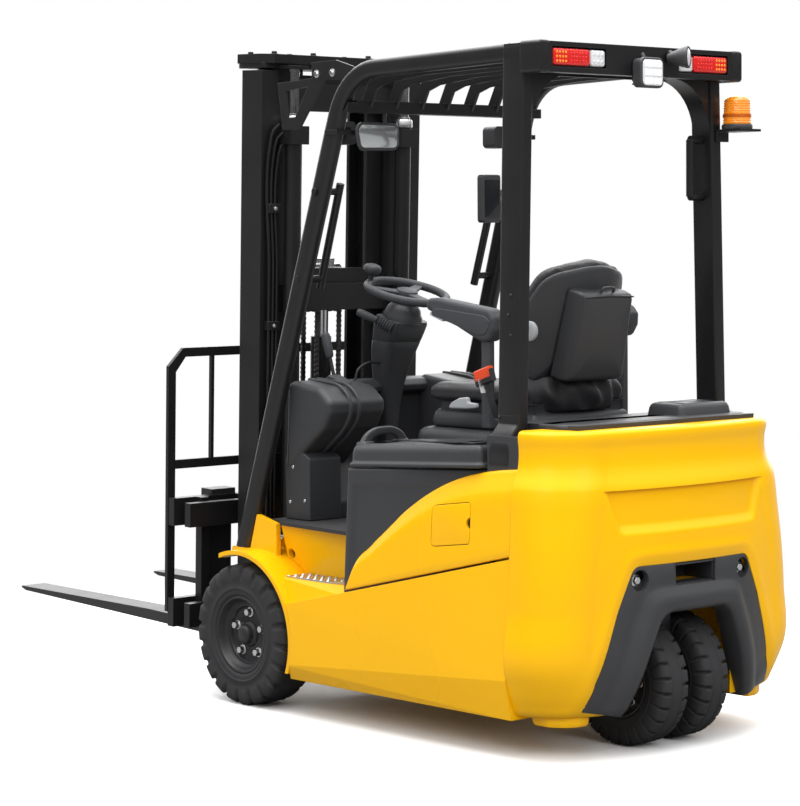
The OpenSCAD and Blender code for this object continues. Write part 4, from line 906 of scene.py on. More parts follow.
def soft_box(low, high, radius, edge, way="up"):
    """A block between two corners of its face, rounded in outline and along the edge of its face: low and high
    are (u, v, h)."""
    outline = rounded([[low[0], low[1]], [high[0], low[1]], [high[0], high[1]], [low[0], high[1]]], radius)
    turn_in = np.linspace(0, np.pi / 2, 5)
    steps = [[0, low[2]]] + [[edge * (1 - np.cos(a)), high[2] - edge * (1 - np.sin(a))] for a in turn_in]
    return facing(lid(outline, steps), way)


def gusset(side):
    """A curved web in the corner between a rear post and the beam."""
    arc = np.linspace(0, np.pi / 2, 14)
    hollow = np.stack([side * (212 + 172 * np.cos(arc)), 1806 + 172 * np.sin(arc)], 1)
    outline = np.concatenate([[[side * 392, 1984]], [[side * 392, 1806]], hollow, [[side * 212, 1984]]])
    return prism(outline, -1204, -1134)


beam_caps = [soft_box((s * 412 - 28, 1970, 1210), (s * 412 + 20, 2064, 1288), 12, 8, "back") for s in (1, -1)]
# Black discs on the post shoes stand in for the holes there: painted shade in place of the dark inside of each
# hole.
post_hole_painted_shade = [prism(np.array([-1172, 866]) + circle * 11, s * 484 - 3, s * 484 + 3, (0, 2, 1)) for s in (1, -1)]
piece("guard_gussets", [gusset(1), gusset(-1)] + beam_caps, "chassis", black_paint)
piece("post_hole_painted_shade", post_hole_painted_shade, "chassis", socket_black)


def domes(places, axis, radius, height):
    """Round rivet heads along one axis."""
    rise = np.linspace(0, np.pi / 2, 6)[:-1]
    profile = np.concatenate([[[radius, -1]], np.stack([radius * np.cos(rise), height * np.sin(rise)], 1)])
    return [spun(profile, at, axis, 16) for at in places]


guard_screws = hex_bolts([[x, 402.5, 2019] for x in (-262, -338)], 17, 8, (0, 1, 0), 1.5)
piece("guard_screws", guard_screws, "chassis", bright_steel)
rivet_z = np.array([1334, 1277, 1218, 980, 930])
rivet_x = -np.array([1176, 1166, 1178, 1135, 1135])
rivets = leaning(np.stack([rivet_x, rivet_z], 1), 462, 1)
piece("post_rivets", domes(rivets, (0, 1, 0), 5.5, 3.5) + domes(rivets * [1, -1, 1], (0, -1, 0), 5.5, 3.5),
      "chassis", black_paint)

# Lamps: tail lamps let into the rear beam, a square work lamp on a stud, a small spot lamp and an amber
# beacon on a bracket. Housings are black plastic and the lenses moulded in colour.
red_lens = finish("red_lens", (0.62, 0.012, 0.01), 0.16, drift=0.2, patch=60, grain=160, relief=0.12, edge=1.5,
                  Coat_Weight=0.5, Emission_Color=(0.8, 0.02, 0.01, 1), Emission_Strength=0.12)
amber_lens = finish("amber_lens", (0.95, 0.27, 0.008), 0.18, drift=0.2, patch=50, grain=160, relief=0.1, edge=1.5,
                    Coat_Weight=0.5, Emission_Color=(1.0, 0.25, 0.01, 1), Emission_Strength=0.18)
clear_lens = finish("clear_lens", (0.72, 0.73, 0.75), 0.14, drift=0.1, patch=70, grain=200, relief=0.12, edge=1.5,
                    Coat_Weight=0.6)
lamp_body = finish("lamp_body", (0.045, 0.045, 0.048), 0.45, drift=0.1, patch=12, grain=800, relief=0.02, edge=1.5)
lamp_low, lamp_high = guard_h - 72, guard_h - 18
tail_body, red_parts, amber_parts, clear_parts = [], [], [], []


def lamp_rows(margin, rows):
    """Heights of the rows of lights in a tail lamp."""
    return np.linspace(lamp_low + margin, lamp_high - margin, rows)


def lamp_dots(y, z, x, radius, height):
    """Domes on a lamp's face, one for each pair of the given Y and Z."""
    grid_y, grid_z = np.meshgrid(y, z)
    places = np.stack([np.full(grid_y.size, x), grid_y.ravel(), grid_z.ravel()], 1)
    return domes(places, (-1, 0, 0), radius, height)


def tail_block(side, near, far, margin, low, high, radius, edge):
    """A block of the tail lamp between two distances from the middle."""
    ends = span(side, near, far)
    return soft_box((ends[0], lamp_low + margin, low), (ends[1], lamp_high - margin, high), radius, edge, "back")


for side in (1, -1):
    tail_body.append(tail_block(side, 157, 373, 0, 1256, 1272, 7, 2))
    red_parts.append(tail_block(side, 222, 371, 3, 1268, 1287, 9, 7))
    clear_parts.append(tail_block(side, 159, 218, 3, 1268, 1286, 9, 7))
    amber_parts += lamp_dots(side * np.linspace(322, 358, 4), lamp_rows(14, 3), -1286.5, 4.2, 2.6)
    red_parts += lamp_dots(side * np.linspace(240, 300, 6), lamp_rows(16, 3), -1286.5, 3.6, 2.2)
    clear_parts += lamp_dots(side * np.linspace(172, 206, 3), lamp_rows(17, 2), -1285.5, 5.5, 2.2)
tail = piece("tail_lamp_trays", tail_body, "chassis", lamp_body)
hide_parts("tail_lamps")
piece("tail_lamp_red", red_parts, "chassis", red_lens)
piece("tail_lamp_amber", amber_parts, "chassis", amber_lens)
piece("tail_lamp_clear", clear_parts, "chassis", clear_lens)
work_body = [soft_box((-47, guard_h - 124, 1288), (47, guard_h - 38, 1318), 18, 6, "back"),
             soft_box((-49, guard_h - 126, 1312), (49, guard_h - 36, 1324), 20, 4, "back")]
fin_z = guard_h - 116 + 11 * np.arange(7)
work_body += [soft_box((-38, z, 1276), (38, z + 4, 1290), 1.5, 1, "back") for z in fin_z]
work_stud = spine([[-1290, 0, guard_h - 60], [-1284, 0, guard_h - 30], [-1262, 0, guard_h - 12]], 12)
spot_stud = spine([[-1262, -118, guard_h - 20], [-1290, -112, guard_h - 16], [-1306, -112, guard_h - 26]], 10)
spot_axis = np.array([-0.86, -0.5, 0.02])
spot_middle = np.array([-1318, -118, guard_h - 32])
spot_shell = [[3, -34], [13, -33], [15, -26], [20, -12], [28, 8], [31, 20], [33, 24], [33, 31], [30, 33], [29, 29],
              [3, 26]]
work_body += [tube(work_stud, 16, 14, up=(0, 1, 0)), spun(spot_shell, spot_middle, spot_axis),
              tube(spot_stud, 14, 12, up=(0, 1, 0))]
lens_parts = [soft_box((-42, guard_h - 119, 1320), (42, guard_h - 43, 1326.5), 14, 2.5, "back"),
              spun([[2, 26], [28, 26], [26, 31], [16, 34], [2, 35]], spot_middle, spot_axis)]
head_shells = []
for side in (1, -1):
    ends = span(side, 300, 374)
    head_shells.append(soft_box((ends[0], guard_h - 266, -330), (ends[1], guard_h - 194, -270), 16, 5, "front"))
    ends = span(side, 307, 367)
    lens_parts.append(soft_box((ends[0], guard_h - 259, -272), (ends[1], guard_h - 201, -266), 12, 2.5, "front"))
lamps = piece("lamp_housings", work_body + head_shells, "chassis", lamp_body)
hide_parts("work_lamps")
piece("lamp_lenses", lens_parts, "chassis", clear_lens)
led_z = guard_h - np.array([106, 81, 56])
led_cells = [soft_box((y - 7, z - 9, 1325), (y + 7, z + 9, 1328), 2, 1, "back") for z in led_z
             for y in (-27, -9, 9, 27)]
led_white = finish("led_white", (0.9, 0.91, 0.92), 0.3, drift=0.05, patch=90, edge=0.6, Emission_Color=(1, 1, 1, 1),
                   Emission_Strength=0.25)
piece("work_lamp_cells", led_cells, "chassis", led_white)
beacon_at = np.array([-1265, -440, guard_h - 235])
rib = np.linspace(0, 1, 40)
amber_wall = np.stack([43 - 2.5 * rib + 0.9 * np.cos(rib * 2 * np.pi * 9), 20 + 66 * rib], 1)
beacon_dome = np.concatenate([[[2, 14], [41, 14]], amber_wall, [[38.5, 91], [33, 97], [22, 100.5], [2, 101.5]]])
beacon = piece("beacon_lens", [spun(beacon_dome, beacon_at, (0, 0, 1), 56)], "chassis", amber_lens)
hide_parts("beacon")
beacon_foot = spun([[2, 0], [46, 0], [47.5, 3], [47.5, 11], [45, 15], [2, 15]], beacon_at, (0, 0, 1), 56)
beacon_band = spun([[2, 36], [44.2, 36], [44.2, 45], [2, 45]], beacon_at, (0, 0, 1), 56)
piece("beacon_base", [beacon_foot], "chassis", lamp_body)
amber_dark = finish("amber_band", (0.5, 0.1, 0.004), 0.3, drift=0.2, patch=50, edge=1.0)
piece("beacon_band", [beacon_band], "chassis", amber_dark)

# Mirror and display: a moulded mirror hangs under the guard's front cross beam, and a small screen stands on
# an arm at the right post.
mirror_outline = rounded([[190, guard_h - 284], [352, guard_h - 288], [366, guard_h - 226], [350, guard_h - 198],
                          [184, guard_h - 200]], [24, 26, 24, 26, 24])
mirror_steps = [[20, 392], [6, 394], [0, 399], [0, 405], [3, 408], [9, 408.5]]
mirror_stem = spine([[-400, 240, guard_h - 205], [-398, 240, guard_h - 185], [-402, 240, guard_h - 160]], 10)
mirror_shell = [facing(lid(mirror_outline, mirror_steps), "back"), tube(mirror_stem, 14, 12, up=(0, 1, 0))]
mirror = piece("mirror_shell", mirror_shell, "chassis", lamp_body)
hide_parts("rear_mirror")
mirror_glass = finish("mirror_face", (0.66, 0.69, 0.7), 0.16, drift=0.04, patch=3, grain=50, relief=0.0, edge=0.5,
                      Metallic=0.85)
mirror_face = facing(lid(mirror_outline, [[9, 406], [9, 409], [10, 409.6]]), "back")
piece("mirror_glass", [mirror_face], "chassis", mirror_glass)
screen_glass = finish("screen_glass", (0.012, 0.013, 0.016), 0.12, drift=0.1, edge=0.5, Coat_Weight=0.6)
bezel = soft_box((-264, guard_h - 513, 372), (-182, guard_h - 356, 398.5), 12, 5, "back")
screen = soft_box((-256, guard_h - 498, 396), (-190, guard_h - 371, 400), 5, 1, "back")
piece("display_bezel", [bezel], "chassis", lamp_body)
piece("display_screen", [screen], "chassis", screen_glass)

# Dashboard: a moulded cowl in three parts, two rounded pods beside the knees and a shelf between them, with
# beads along its joints. It is screwed to the frame by its side plates, and the floor is a rubber mat.
mat_rubber = finish("rubber_mat", (0.026, 0.026, 0.028), 0.7, drift=0.2, patch=30, grain=120, relief=0.25, edge=2.0)
dress("floor_plate", mat_rubber)
pod_profile = rounded([[-74, 742], [-90, 1034], [-112, 1047], [-250, 1030], [-306, 985], [-304, 950], [-272, 898],
                       [-150, 806]], [20, 16, 16, 46, 26, 24, 40, 60], 7)
shelf_profile = rounded([[-72, 601], [-78, 1030], [-92, 1043], [-128, 1036], [-146, 1016], [-140, 998], [-104, 984],
                         [-104, 770], [-184, 650], [-184, 601]], [3, 12, 12, 20, 8, 8, 16, 50, 30, 3], 6)


def across(profile, low, high, edge):
    """A side profile drawn out along Y, its two ends drawn in by quarter rounds."""
    profile = np.asarray(profile, float)
    turn_in = np.linspace(0, np.pi / 2, 6)
    inset, back = edge * (1 - np.sin(turn_in)), edge * (1 - np.cos(turn_in))
    y = np.concatenate([low + back, (high - back)[::-1]])
    flat = profile[None] + inward(profile)[None] * np.concatenate([inset, inset[::-1]])[:, None, None]
    return loft(np.stack([flat[..., 0], np.broadcast_to(y[:, None], flat.shape[:2]), flat[..., 1]], -1))


pod_near, pod_far, shelf_half, bead_y = 160, 401, 264, (276, 312)
cowl_parts = [across(pod_profile, *span(s, pod_near, pod_far), 22) for s in (1, -1)]
cowl_parts.append(across(shelf_profile, -shelf_half, shelf_half, 4))
bead_path = spine([[-100, 0, 1046], [-180, 0, 1041], [-250, 0, 1030], [-292, 0, 1000], [-305, 0, 968],
                   [-296, 0, 930], [-270, 0, 897], [-220, 0, 856], [-170, 0, 820], [-140, 0, 800]], 60)
bead_form = bar_profile(15, 14, 6)
cowl_parts += [sweep(bead_path + [0, s * y, 0], bead_form, up=(0, 1, 0)) for s in (1, -1) for y in bead_y]
plate_outline = rounded([[-74, 601], [-74, 800], [-140, 830], [-196, 800], [-196, 601]], [4, 10, 14, 14, 4])
cowl_parts += [across(plate_outline, *span(s, 262, 394), 4) for s in (1, -1)]
cowl = piece("dash_cowl", cowl_parts, "chassis", dark_plastic, sharp=45)
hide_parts("front_cowl")
screw_at = np.array([[-112, 394, 770], [-96, 394, 656], [-170, 394, 664]])
piece("cowl_screws", domes(screw_at, (0, 1, 0), 6, 3) + domes(screw_at * [1, -1, 1], (0, -1, 0), 6, 3), "chassis",
      bright_steel)

# Steering column: a tapered moulded cover in two halves with a collar under the wheel. The wheel is foam over
# a steel ring, on three spokes, with a spinner knob at its left.
column_foot, column_lean = np.array([-98, 0, 876]), np.radians(16)


def tipped(points, lean_back, foot_at):
    """From axes that lean back by an angle, with their zero at a foot, into the truck's."""
    p = np.asarray(points, float)
    x = p[..., 0] * np.cos(lean_back) - p[..., 2] * np.sin(lean_back)
    z = p[..., 0] * np.sin(lean_back) + p[..., 2] * np.cos(lean_back)
    return np.stack([x, p[..., 1], z], -1) + foot_at


def on_column(points):
    """From the column's own axes, with Z along it, into the truck's."""
    return tipped(points, column_lean, column_foot)


def column_rings():
    """Rounded rectangles that stand upright from the floor, then grow and lean with the column; a joint runs
    round below the head."""
    flat = bar_profile(120, 160, 24, 5)
    high = on_column(np.concatenate([flat + [2, 0], np.full((len(flat), 1), 378.0)], 1))
    # height, X of the middle, share of the head's depth and of its width
    stations = np.array([[604, -118, 0.42, 0.3], [880, -124, 0.44, 0.32], [960, -128, 0.54, 0.42],
                         [1030, -134, 0.66, 0.54], [1090, -146, 0.8, 0.68], [1140, -162, 0.9, 0.82]])[:, None]
    wide = flat * stations[..., 2:]
    low = np.stack([wide[..., 0] + stations[..., 1], wide[..., 1], stations[..., 0] + 0 * wide[..., 0]], -1)
    share = np.array([0.25, 0.27, 0.29, 0.6, 0.9, 1])[:, None, None]
    rings = np.concatenate([low, low[-1] * (1 - share) + high * share])
    size = np.array([1, 1, 1, 1, 1, 1, 1, 0.975, 1, 1, 0.985, 0.93])[:, None, None]
    middle = rings.mean(1, keepdims=True)
    return middle + (rings - middle) * size


def column_spun(profile, at=(0, 0, 0), sides=40):
    """A profile turned round the column's own axis."""
    points, faces = spun(profile, at, (0, 0, 1), sides)
    return on_column(points), faces


collar = column_spun([[30, 370], [66, 372], [66, 388], [60, 396], [56, 412], [47, 424], [40, 430], [40, 452],
                      [30, 453]])
column = piece("column_cover", [loft(column_rings()), collar], "chassis", dark_plastic, sharp=45)
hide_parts("steering_column")
wheel_radius, wheel_rise = 131, 468.5
ring_a = np.linspace(0, 2 * np.pi, 72, endpoint=False)[:, None]
ring_b = np.linspace(0, 2 * np.pi, 14, endpoint=False)[None]
grip = 13.5 - 0.9 * np.cos(ring_a * 40) * ramp(np.cos(ring_b + np.pi / 4), 0.2, 0.9)
ring_r = wheel_radius + grip * np.cos(ring_b)
ring_points = np.stack([ring_r * np.cos(ring_a), ring_r * np.sin(ring_a), wheel_rise + grip * np.sin(ring_b)], -1)
wheel_parts = [(on_column(ring_points.reshape(-1, 3)), [grid_faces(72, 14, True, True)])]
for angle in np.radians([60, 180, 300]):
    out = np.array([np.cos(angle), np.sin(angle), 0])
    spoke = spine([out * 12 + [0, 0, 466], out * 50 + [0, 0, 465], out * 95 + [0, 0, 467],
                   out * 132 + [0, 0, wheel_rise]], 20)
    width = np.linspace(1.25, 0.8, 20)[:, None] * [1, 1]
    points, faces = sweep(spoke, bar_profile(34, 9, 4)[None] * width[:, None], up=(0, 0, 1))
    wheel_parts.append((on_column(points), faces))
wheel_parts.append(column_spun([[2, 455], [33, 455], [36, 459], [37, 468], [34, 475], [24, 479], [2, 480.5]]))
knob_at = (110, 69, 0)
knob = [[2, 466], [9, 466], [9, 494], [12, 499], [24, 503], [29, 511], [29, 520], [24, 528], [13, 532], [2, 533]]
wheel_parts.append(column_spun(knob, knob_at, 28))
foam = finish("wheel_foam", (0.04, 0.042, 0.047), 0.55, drift=0.15, patch=25, grain=1500, relief=0.05, edge=1.0)
wheel = piece("hand_wheel_rim", wheel_parts, "hand_wheel", foam, sharp=45)
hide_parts("steering_wheel")


def bellows(low, high, wide, narrow, folds):
    """A folded rubber boot between two points: its radius rises and falls with each fold."""
    low, high = np.asarray(low, float), np.asarray(high, float)
    t = np.linspace(0, 1, folds * 6 + 1)
    radius = wide + (narrow - wide) * t + 2.6 * np.cos(t * folds * 2 * np.pi)
    length = np.linalg.norm(high - low)
    profile = np.concatenate([[[2, 0]], np.stack([radius, t * length], 1), [[2, length]]])
    return spun(profile, low, high - low, 24)


def handle(low, high, radius):
    """A moulded grip between two points with rounded ends."""
    low, high = np.asarray(low, float), np.asarray(high, float)
    length = np.linalg.norm(high - low)
    profile = [[2, 0], [radius * 0.7, 1], [radius * 0.86, 6], [radius, length * 0.4], [radius, length - 10],
               [radius * 0.8, length - 3], [radius * 0.4, length], [2, length + 0.6]]
    return spun(profile, low, high - low, 24)


lever_tip, lever_foot = np.array([-108, 252, 1198.0]), np.array([-168, 250, 1000.0])
lever_way = (lever_tip - lever_foot) / np.linalg.norm(lever_tip - lever_foot)
lever_boot = rounded([[-120, 1040], [-150, 1064], [-190, 1052], [-232, 1028]], [6, 12, 30, 4])
control_rubber = [bellows([-240, 80, 1210], [-205, 110, 1235], 18, 13, 6),
                  handle([-204, 111, 1236], [-152, 152, 1265], 13),
                  handle(lever_tip - lever_way * 84, lever_tip, 15), across(lever_boot, 226, 276, 6)]
catch_path = spine([[-150, 44, 1092], [-150, 112, 1094], [-146, 140, 1078], [-142, 168, 1030], [-140, 176, 1030]],
                   24)
lever_path = spine([lever_foot, lever_foot + lever_way * 60, lever_tip - lever_way * 70], 12)
lever_rods = [tube(lever_path, 12, 14, up=(0, 1, 0)), tube(catch_path, 8, 10, up=(1, 0, 0))]
piece("control_grips", control_rubber, "chassis", foam, sharp=45)
piece("control_rods", lever_rods, "chassis", rim_paint)
pedal_y = (-70, -170)
pedal_paths = [spine([[-150, y, 800], [-196, y, 742], [-226, y, 676]], 12) for y in pedal_y]
pedal_arms = [tube(path, 16, 12, up=(0, 1, 0)) for path in pedal_paths]
pedal_pads = [soft_box((-268, y - 38, 648), (-212, y + 38, 662), 10, 4) for y in pedal_y]
piece("pedals", pedal_arms + pedal_pads, "chassis", rim_paint)

# Seat: black vinyl over moulded foam, sewn along its bolsters, on a steel pan. A moulded shell with a box for
# papers closes the back, and the armrests, belt buckle and slide lever are screwed to the frame.
seat_cover = finish("seat_cover", (0.02, 0.02, 0.022), 0.46, drift=0.18, patch=9, grain=420, relief=0.09, edge=1.0,
                    Specular_IOR_Level=0.45)
seat_hinge, back_lean, back_r = np.array([-1004, 0, 1040]), np.radians(13.5), 265
fill_pressure, fill_frames = 4, 20


def on_back(points):
    """From the axes of the seat's back, X forward and Z up along it, into the truck's."""
    return tipped(points, back_lean, seat_hinge)


def wrapped(flat):
    """Bends a flat form of (across, up, depth) round the driver: depth shortens the radius of the back."""
    y, z, depth = flat[..., 0], flat[..., 1], flat[..., 2]
    angle, radius = np.arcsin(np.clip(y / back_r, -0.98, 0.98)), back_r - depth
    return on_back(np.stack([back_r - radius * np.cos(angle), radius * np.sin(angle), z], -1))


def pad_form(outline, steps):
    """Rings of one outline drawn in towards its middle: each step has a scale and a depth."""
    outline, steps = np.asarray(outline, float), np.asarray(steps, float)
    middle = outline.mean(0)
    flat = middle + (outline - middle)[None] * steps[:, :1, None]
    depth = np.broadcast_to(steps[:, 1][:, None, None], flat.shape[:2] + (1,))
    return np.concatenate([flat, depth], -1)


def stuffed(thing, voxel, cap):
    """Fills a cushion: its skin is meshed evenly, blown up as cloth under a slight pressure, and no point
    moves further than the cap."""
    skin = thing.modifiers.new("skin", "REMESH")
    skin.mode, skin.voxel_size = "VOXEL", voxel / 1000
    thing.data = bpy.data.meshes.new_from_object(thing.evaluated_get(bpy.context.evaluated_depsgraph_get()))
    thing.modifiers.clear()
    start = np.empty(len(thing.data.vertices) * 3)
    thing.data.vertices.foreach_get("co", start)
    cloth = thing.modifiers.new("filling", "CLOTH").settings
    cloth.use_pressure, cloth.uniform_pressure_force = True, fill_pressure
    cloth.effector_weights.gravity = 0
    for number in range(1, fill_frames + 1):
        bpy.context.scene.frame_set(number)
    swollen = thing.evaluated_get(bpy.context.evaluated_depsgraph_get()).data
    end = np.empty(len(start))
    swollen.vertices.foreach_get("co", end)
    thing.modifiers.clear()
    bpy.context.scene.frame_set(1)
    move = (end - start).reshape(-1, 3)
    far = np.maximum(np.linalg.norm(move, axis=1, keepdims=True), 1e-9)
    start += (move * np.minimum(1, cap / 1000 / far)).ravel()
    thing.data.vertices.foreach_set("co", start)
    thing.data.shade_smooth()


def pressed_in(thing, sink):
    """Sinks a skin along its normals by millimetres that depend on the place on the truck."""
    count = len(thing.data.vertices)
    at, out = np.empty(count * 3), np.empty(count * 3)
    thing.data.vertices.foreach_get("co", at)
    thing.data.vertices.foreach_get("normal", out)
    at, out = at.reshape(-1, 3), out.reshape(-1, 3)
    at = at - out * sink(at * 1000 - [axle_x, 0, 0])[:, None] / 1000
    thing.data.vertices.foreach_set("co", at.ravel())
    thing.data.update()


cushion_outline = rounded([[-540, -236], [-540, 236], [-975, 236], [-975, -236]], [70, 70, 40, 40], 10)
cushion_steps = [[0.05, 1003], [0.6, 1003], [0.93, 1003], [0.97, 1007], [0.985, 1016], [0.985, 1030], [0.965, 1041],
                 [0.92, 1046], [0.8, 1047], [0.5, 1045], [0.05, 1044]]
cushion = piece("seat_cushion", [loft(pad_form(cushion_outline, cushion_steps))], "hood_lid", seat_cover,
                sharp=80)
stuffed(cushion, 6, 8)


def cushion_seams(p):
    """Two sewn channels beside the thighs, one across behind the front roll and pull folds towards them."""
    side_seam = np.exp(-((np.abs(p[:, 1]) - 150) / 5) ** 2) * ramp(p[:, 2], 1036, 1044)
    front_seam = np.exp(-((p[:, 0] + 628) / 5) ** 2) * ramp(150 - np.abs(p[:, 1]), 0, 6) * ramp(p[:, 2], 1036, 1044)
    edge_seam = np.exp(-((p[:, 2] - 1024) / 3.5) ** 2)
    folds = 0.8 * np.sin(p[:, 1] / 15) * np.exp(-((p[:, 0] + 640) / 40) ** 2) * ramp(p[:, 2], 1036, 1044)
    return 4.5 * np.maximum(side_seam, front_seam) + 2.2 * edge_seam + folds


pressed_in(cushion, cushion_seams)
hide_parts("seat_pads")
back_outline = rounded([[-208, 24], [208, 24], [212, 250], [176, 366], [0, 418], [-176, 366], [-212, 250]],
                       [36, 36, 120, 90, 260, 90, 120], 8)
back_steps = [[0.05, 2], [0.5, 2], [0.9, 3], [0.95, 6], [0.975, 14], [0.98, 30], [0.97, 44], [0.94, 52], [0.86, 56],
              [0.6, 57], [0.3, 57], [0.04, 57]]
back_pad = piece("seat_back_pad", [loft(wrapped(pad_form(back_outline, back_steps)))], "hood_lid", seat_cover,
                 sharp=80)
stuffed(back_pad, 6, 7)


def back_seams(p):
    """Channels beside the spine and one under the head roll, with small folds that run into the rim."""
    up = (p[:, 2] - seat_hinge[2]) * np.cos(back_lean) - (p[:, 0] - seat_hinge[0]) * np.sin(back_lean)
    front = ramp(p[:, 0] - (seat_hinge[0] - up * np.sin(back_lean)), 30, 44)
    upright = np.exp(-((np.abs(p[:, 1]) - 96) / 5) ** 2) * ramp(320 - up, 0, 8) * front
    head = np.exp(-((up - 324) / 5) ** 2) * ramp(118 - np.abs(p[:, 1]), 0, 8) * front
    rim_folds = 0.9 * np.sin(p[:, 1] / 11 + up / 37) * ramp(up, 330, 400)
    return 4 * np.maximum(upright, head) + rim_folds


pressed_in(back_pad, back_seams)
shell_outline = rounded([[-188, 8], [188, 8], [196, 240], [160, 350], [0, 398], [-160, 350], [-196, 240]],
                        [30, 30, 120, 90, 260, 90, 120], 8)
shell_steps = [[0.05, -1], [0.5, -1], [0.9, -1], [0.99, -1], [1.0, -4], [0.995, -9], [0.97, -14], [0.9, -16],
               [0.6, -16.5], [0.3, -16.5], [0.05, -16.5]]
seat_parts = [loft(wrapped(pad_form(shell_outline, shell_steps)))]


def paper_box():
    """Box for papers on the shell, tapered upwards, with chamfered sides."""
    outline = rounded([[-122, 40], [122, 40], [106, 316], [-106, 316]], 10)
    steps = [[1.0, 0], [1.0, -40], [0.97, -66], [0.9, -76], [0.84, -79], [0.3, -79], [0.04, -79]]
    flat = pad_form(outline, steps)
    return loft(on_back(np.stack([flat[..., 2], flat[..., 0], flat[..., 1]], -1)))


latch = tube(on_back(spine([[-58, 26, 316], [-62, 24, 328], [-64, 0, 333], [-62, -24, 328], [-58, -26, 316]], 20)),
             9, 10, up=(1, 0, 0))
lid_rim = tube(on_back(spine([[-76, 100, 306], [-76, 40, 309], [-76, -40, 309], [-76, -100, 306]], 16)), 5, 8)
seat_foot = across(rounded([[-990, 970], [-1020, 970], [-1024, 1066], [-1000, 1066]], 8), -118, 118, 8)
shell = piece("seat_back_shell", seat_parts + [paper_box(), latch, lid_rim, seat_foot], "hood_lid", dark_plastic,
              sharp=45)
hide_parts("seat_shell")


def skirt_rings():
    """A loose vinyl skirt between the back and the pan: it wraps round behind the hinge, and its folds swing
    in and out along the way."""
    t = np.linspace(0, 1, 120)[:, None]
    turn = np.pi * (0.5 + t)
    x, y = -962 + 72 * np.cos(turn), 196 * np.sin(turn)
    v = np.linspace(0, 1, 14)[None]
    swing = 7 * np.sin(t * 46 + 2.5 * v) * np.sin(np.pi * v) + 5 * np.sin(t * 21 + 5 * v) * np.sin(np.pi * v)
    bulge = 16 * np.sin(np.pi * v) + swing
    out_x, out_y = np.cos(turn), np.sin(turn)
    outer = np.stack([x + out_x * bulge, y + out_y * bulge, 976 + 100 * v + 5 * np.sin(t * 30) * v + 0 * t], -1)
    inner = outer - np.stack([out_x * 9 + 0 * v, out_y * 9 + 0 * v, 0 * t + 0 * v], -1)
    return np.concatenate([outer, inner[:, ::-1]], 1)


skirt = piece("seat_skirt", [loft(skirt_rings())], "hood_lid", seat_cover, sharp=70)
base_outline = rounded([[-556, -212], [-556, 212], [-1036, 212], [-1036, -212]], [46, 46, 20, 20], 8)
base_form = lid(base_outline, [[8, 916], [2, 920], [0, 930], [2, 944], [8, 960], [16, 968], [24, 969.5], [24, 992],
                               [18, 1000], [30, 1003]])
base = piece("seat_pan", [base_form], "hood_lid", dark_plastic, sharp=45)
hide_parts("seat_base")
arm_profile = rounded([[-664, 1300], [-672, 1282], [-764, 1250], [-900, 1192], [-946, 1190], [-970, 1226],
                       [-972, 1262], [-950, 1288], [-716, 1320], [-678, 1318]],
                      [12, 12, 60, 30, 24, 24, 16, 30, 20, 14], 5)
arm_field = (arm_profile - arm_profile.mean(0)) * [0.84, 0.6] + arm_profile.mean(0) + [-6, -10]
arm_parts, arm_trim = [], []
for side in (1, -1):
    stem, bracket = span(side, 275, 303), span(side, 202, 299)
    arm_parts += [across(arm_profile, *span(side, 261, 317), 14), across(arm_field, *span(side, 311, 319.5), 3),
                  soft_box((-936, stem[0], 932), (-900, stem[1], 1204), 8, 3),
                  soft_box((-930, bracket[0], 933), (-906, bracket[1], 955), 6, 3)]
    trim_outline = rounded([[-690, 1277], [-752, 1257], [-750, 1247], [-692, 1266]], 4)
    arm_trim.append(across(trim_outline, *span(side, 300, 319), 2))
arms = piece("seat_arms", arm_parts, "hood_lid", foam, sharp=45)
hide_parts("armrests")
pale_plastic = finish("pale_plastic", (0.36, 0.375, 0.39), 0.4, drift=0.08, patch=20, grain=900, relief=0.02,
                      edge=1.2)
slide_outline = rounded([[-700, 978], [-716, 996], [-752, 1012], [-786, 1016], [-792, 1000], [-826, 998],
                         [-828, 984], [-790, 980]], [6, 12, 16, 8, 6, 6, 6, 8], 5)
slide_lever = across(slide_outline, 240, 258, 5)
knob_form = [[2, -16], [10, -16], [10, 0], [29, 0], [30, 3], [30, 9], [26, 12], [8, 13], [2, 11]]
tilt_knob = spun(knob_form, (-1028, 214, 1222), (0, 1, 0), 36)
piece("seat_levers", arm_trim + [slide_lever, tilt_knob], "hood_lid", pale_plastic)
buckle_red = finish("buckle_red", (0.72, 0.06, 0.01), 0.35, drift=0.1, patch=40, relief=0.02, edge=1.2,
                    Coat_Weight=0.2)
buckle_at, buckle_way, buckle_down = np.array([[-936, 322, 1094], [-0.95, 0, 0.31], [-0.31, 0, -0.95]])
web_path = spine([[-968, 300, 962], [-962, 314, 1010], [-946, 322, 1068]], 10)
web = sweep(web_path, bar_profile(26, 4, 1.5), up=(0, 1, 0))
buckle_ends = np.array([-1, 0, 1])[:, None] * buckle_way
buckle_key = sweep(buckle_at + buckle_ends * 33, bar_profile(35, 22, 6), up=(0, 1, 0))
buckle_case = sweep(buckle_at + buckle_ends * 36 + buckle_down * 11, bar_profile(40, 20, 6), up=(0, 1, 0))
tongue_path = buckle_at + [0, 18, 0] + np.array([[15], [58]]) * buckle_down
tongue = sweep(tongue_path, bar_profile(2.5, 24, 1), up=(0, 1, 0))
piece("belt_web", [web, buckle_case], "hood_lid", rim_paint)
piece("belt_key", [buckle_key], "hood_lid", buckle_red)
piece("belt_tongue", [tongue], "hood_lid", bright_steel)

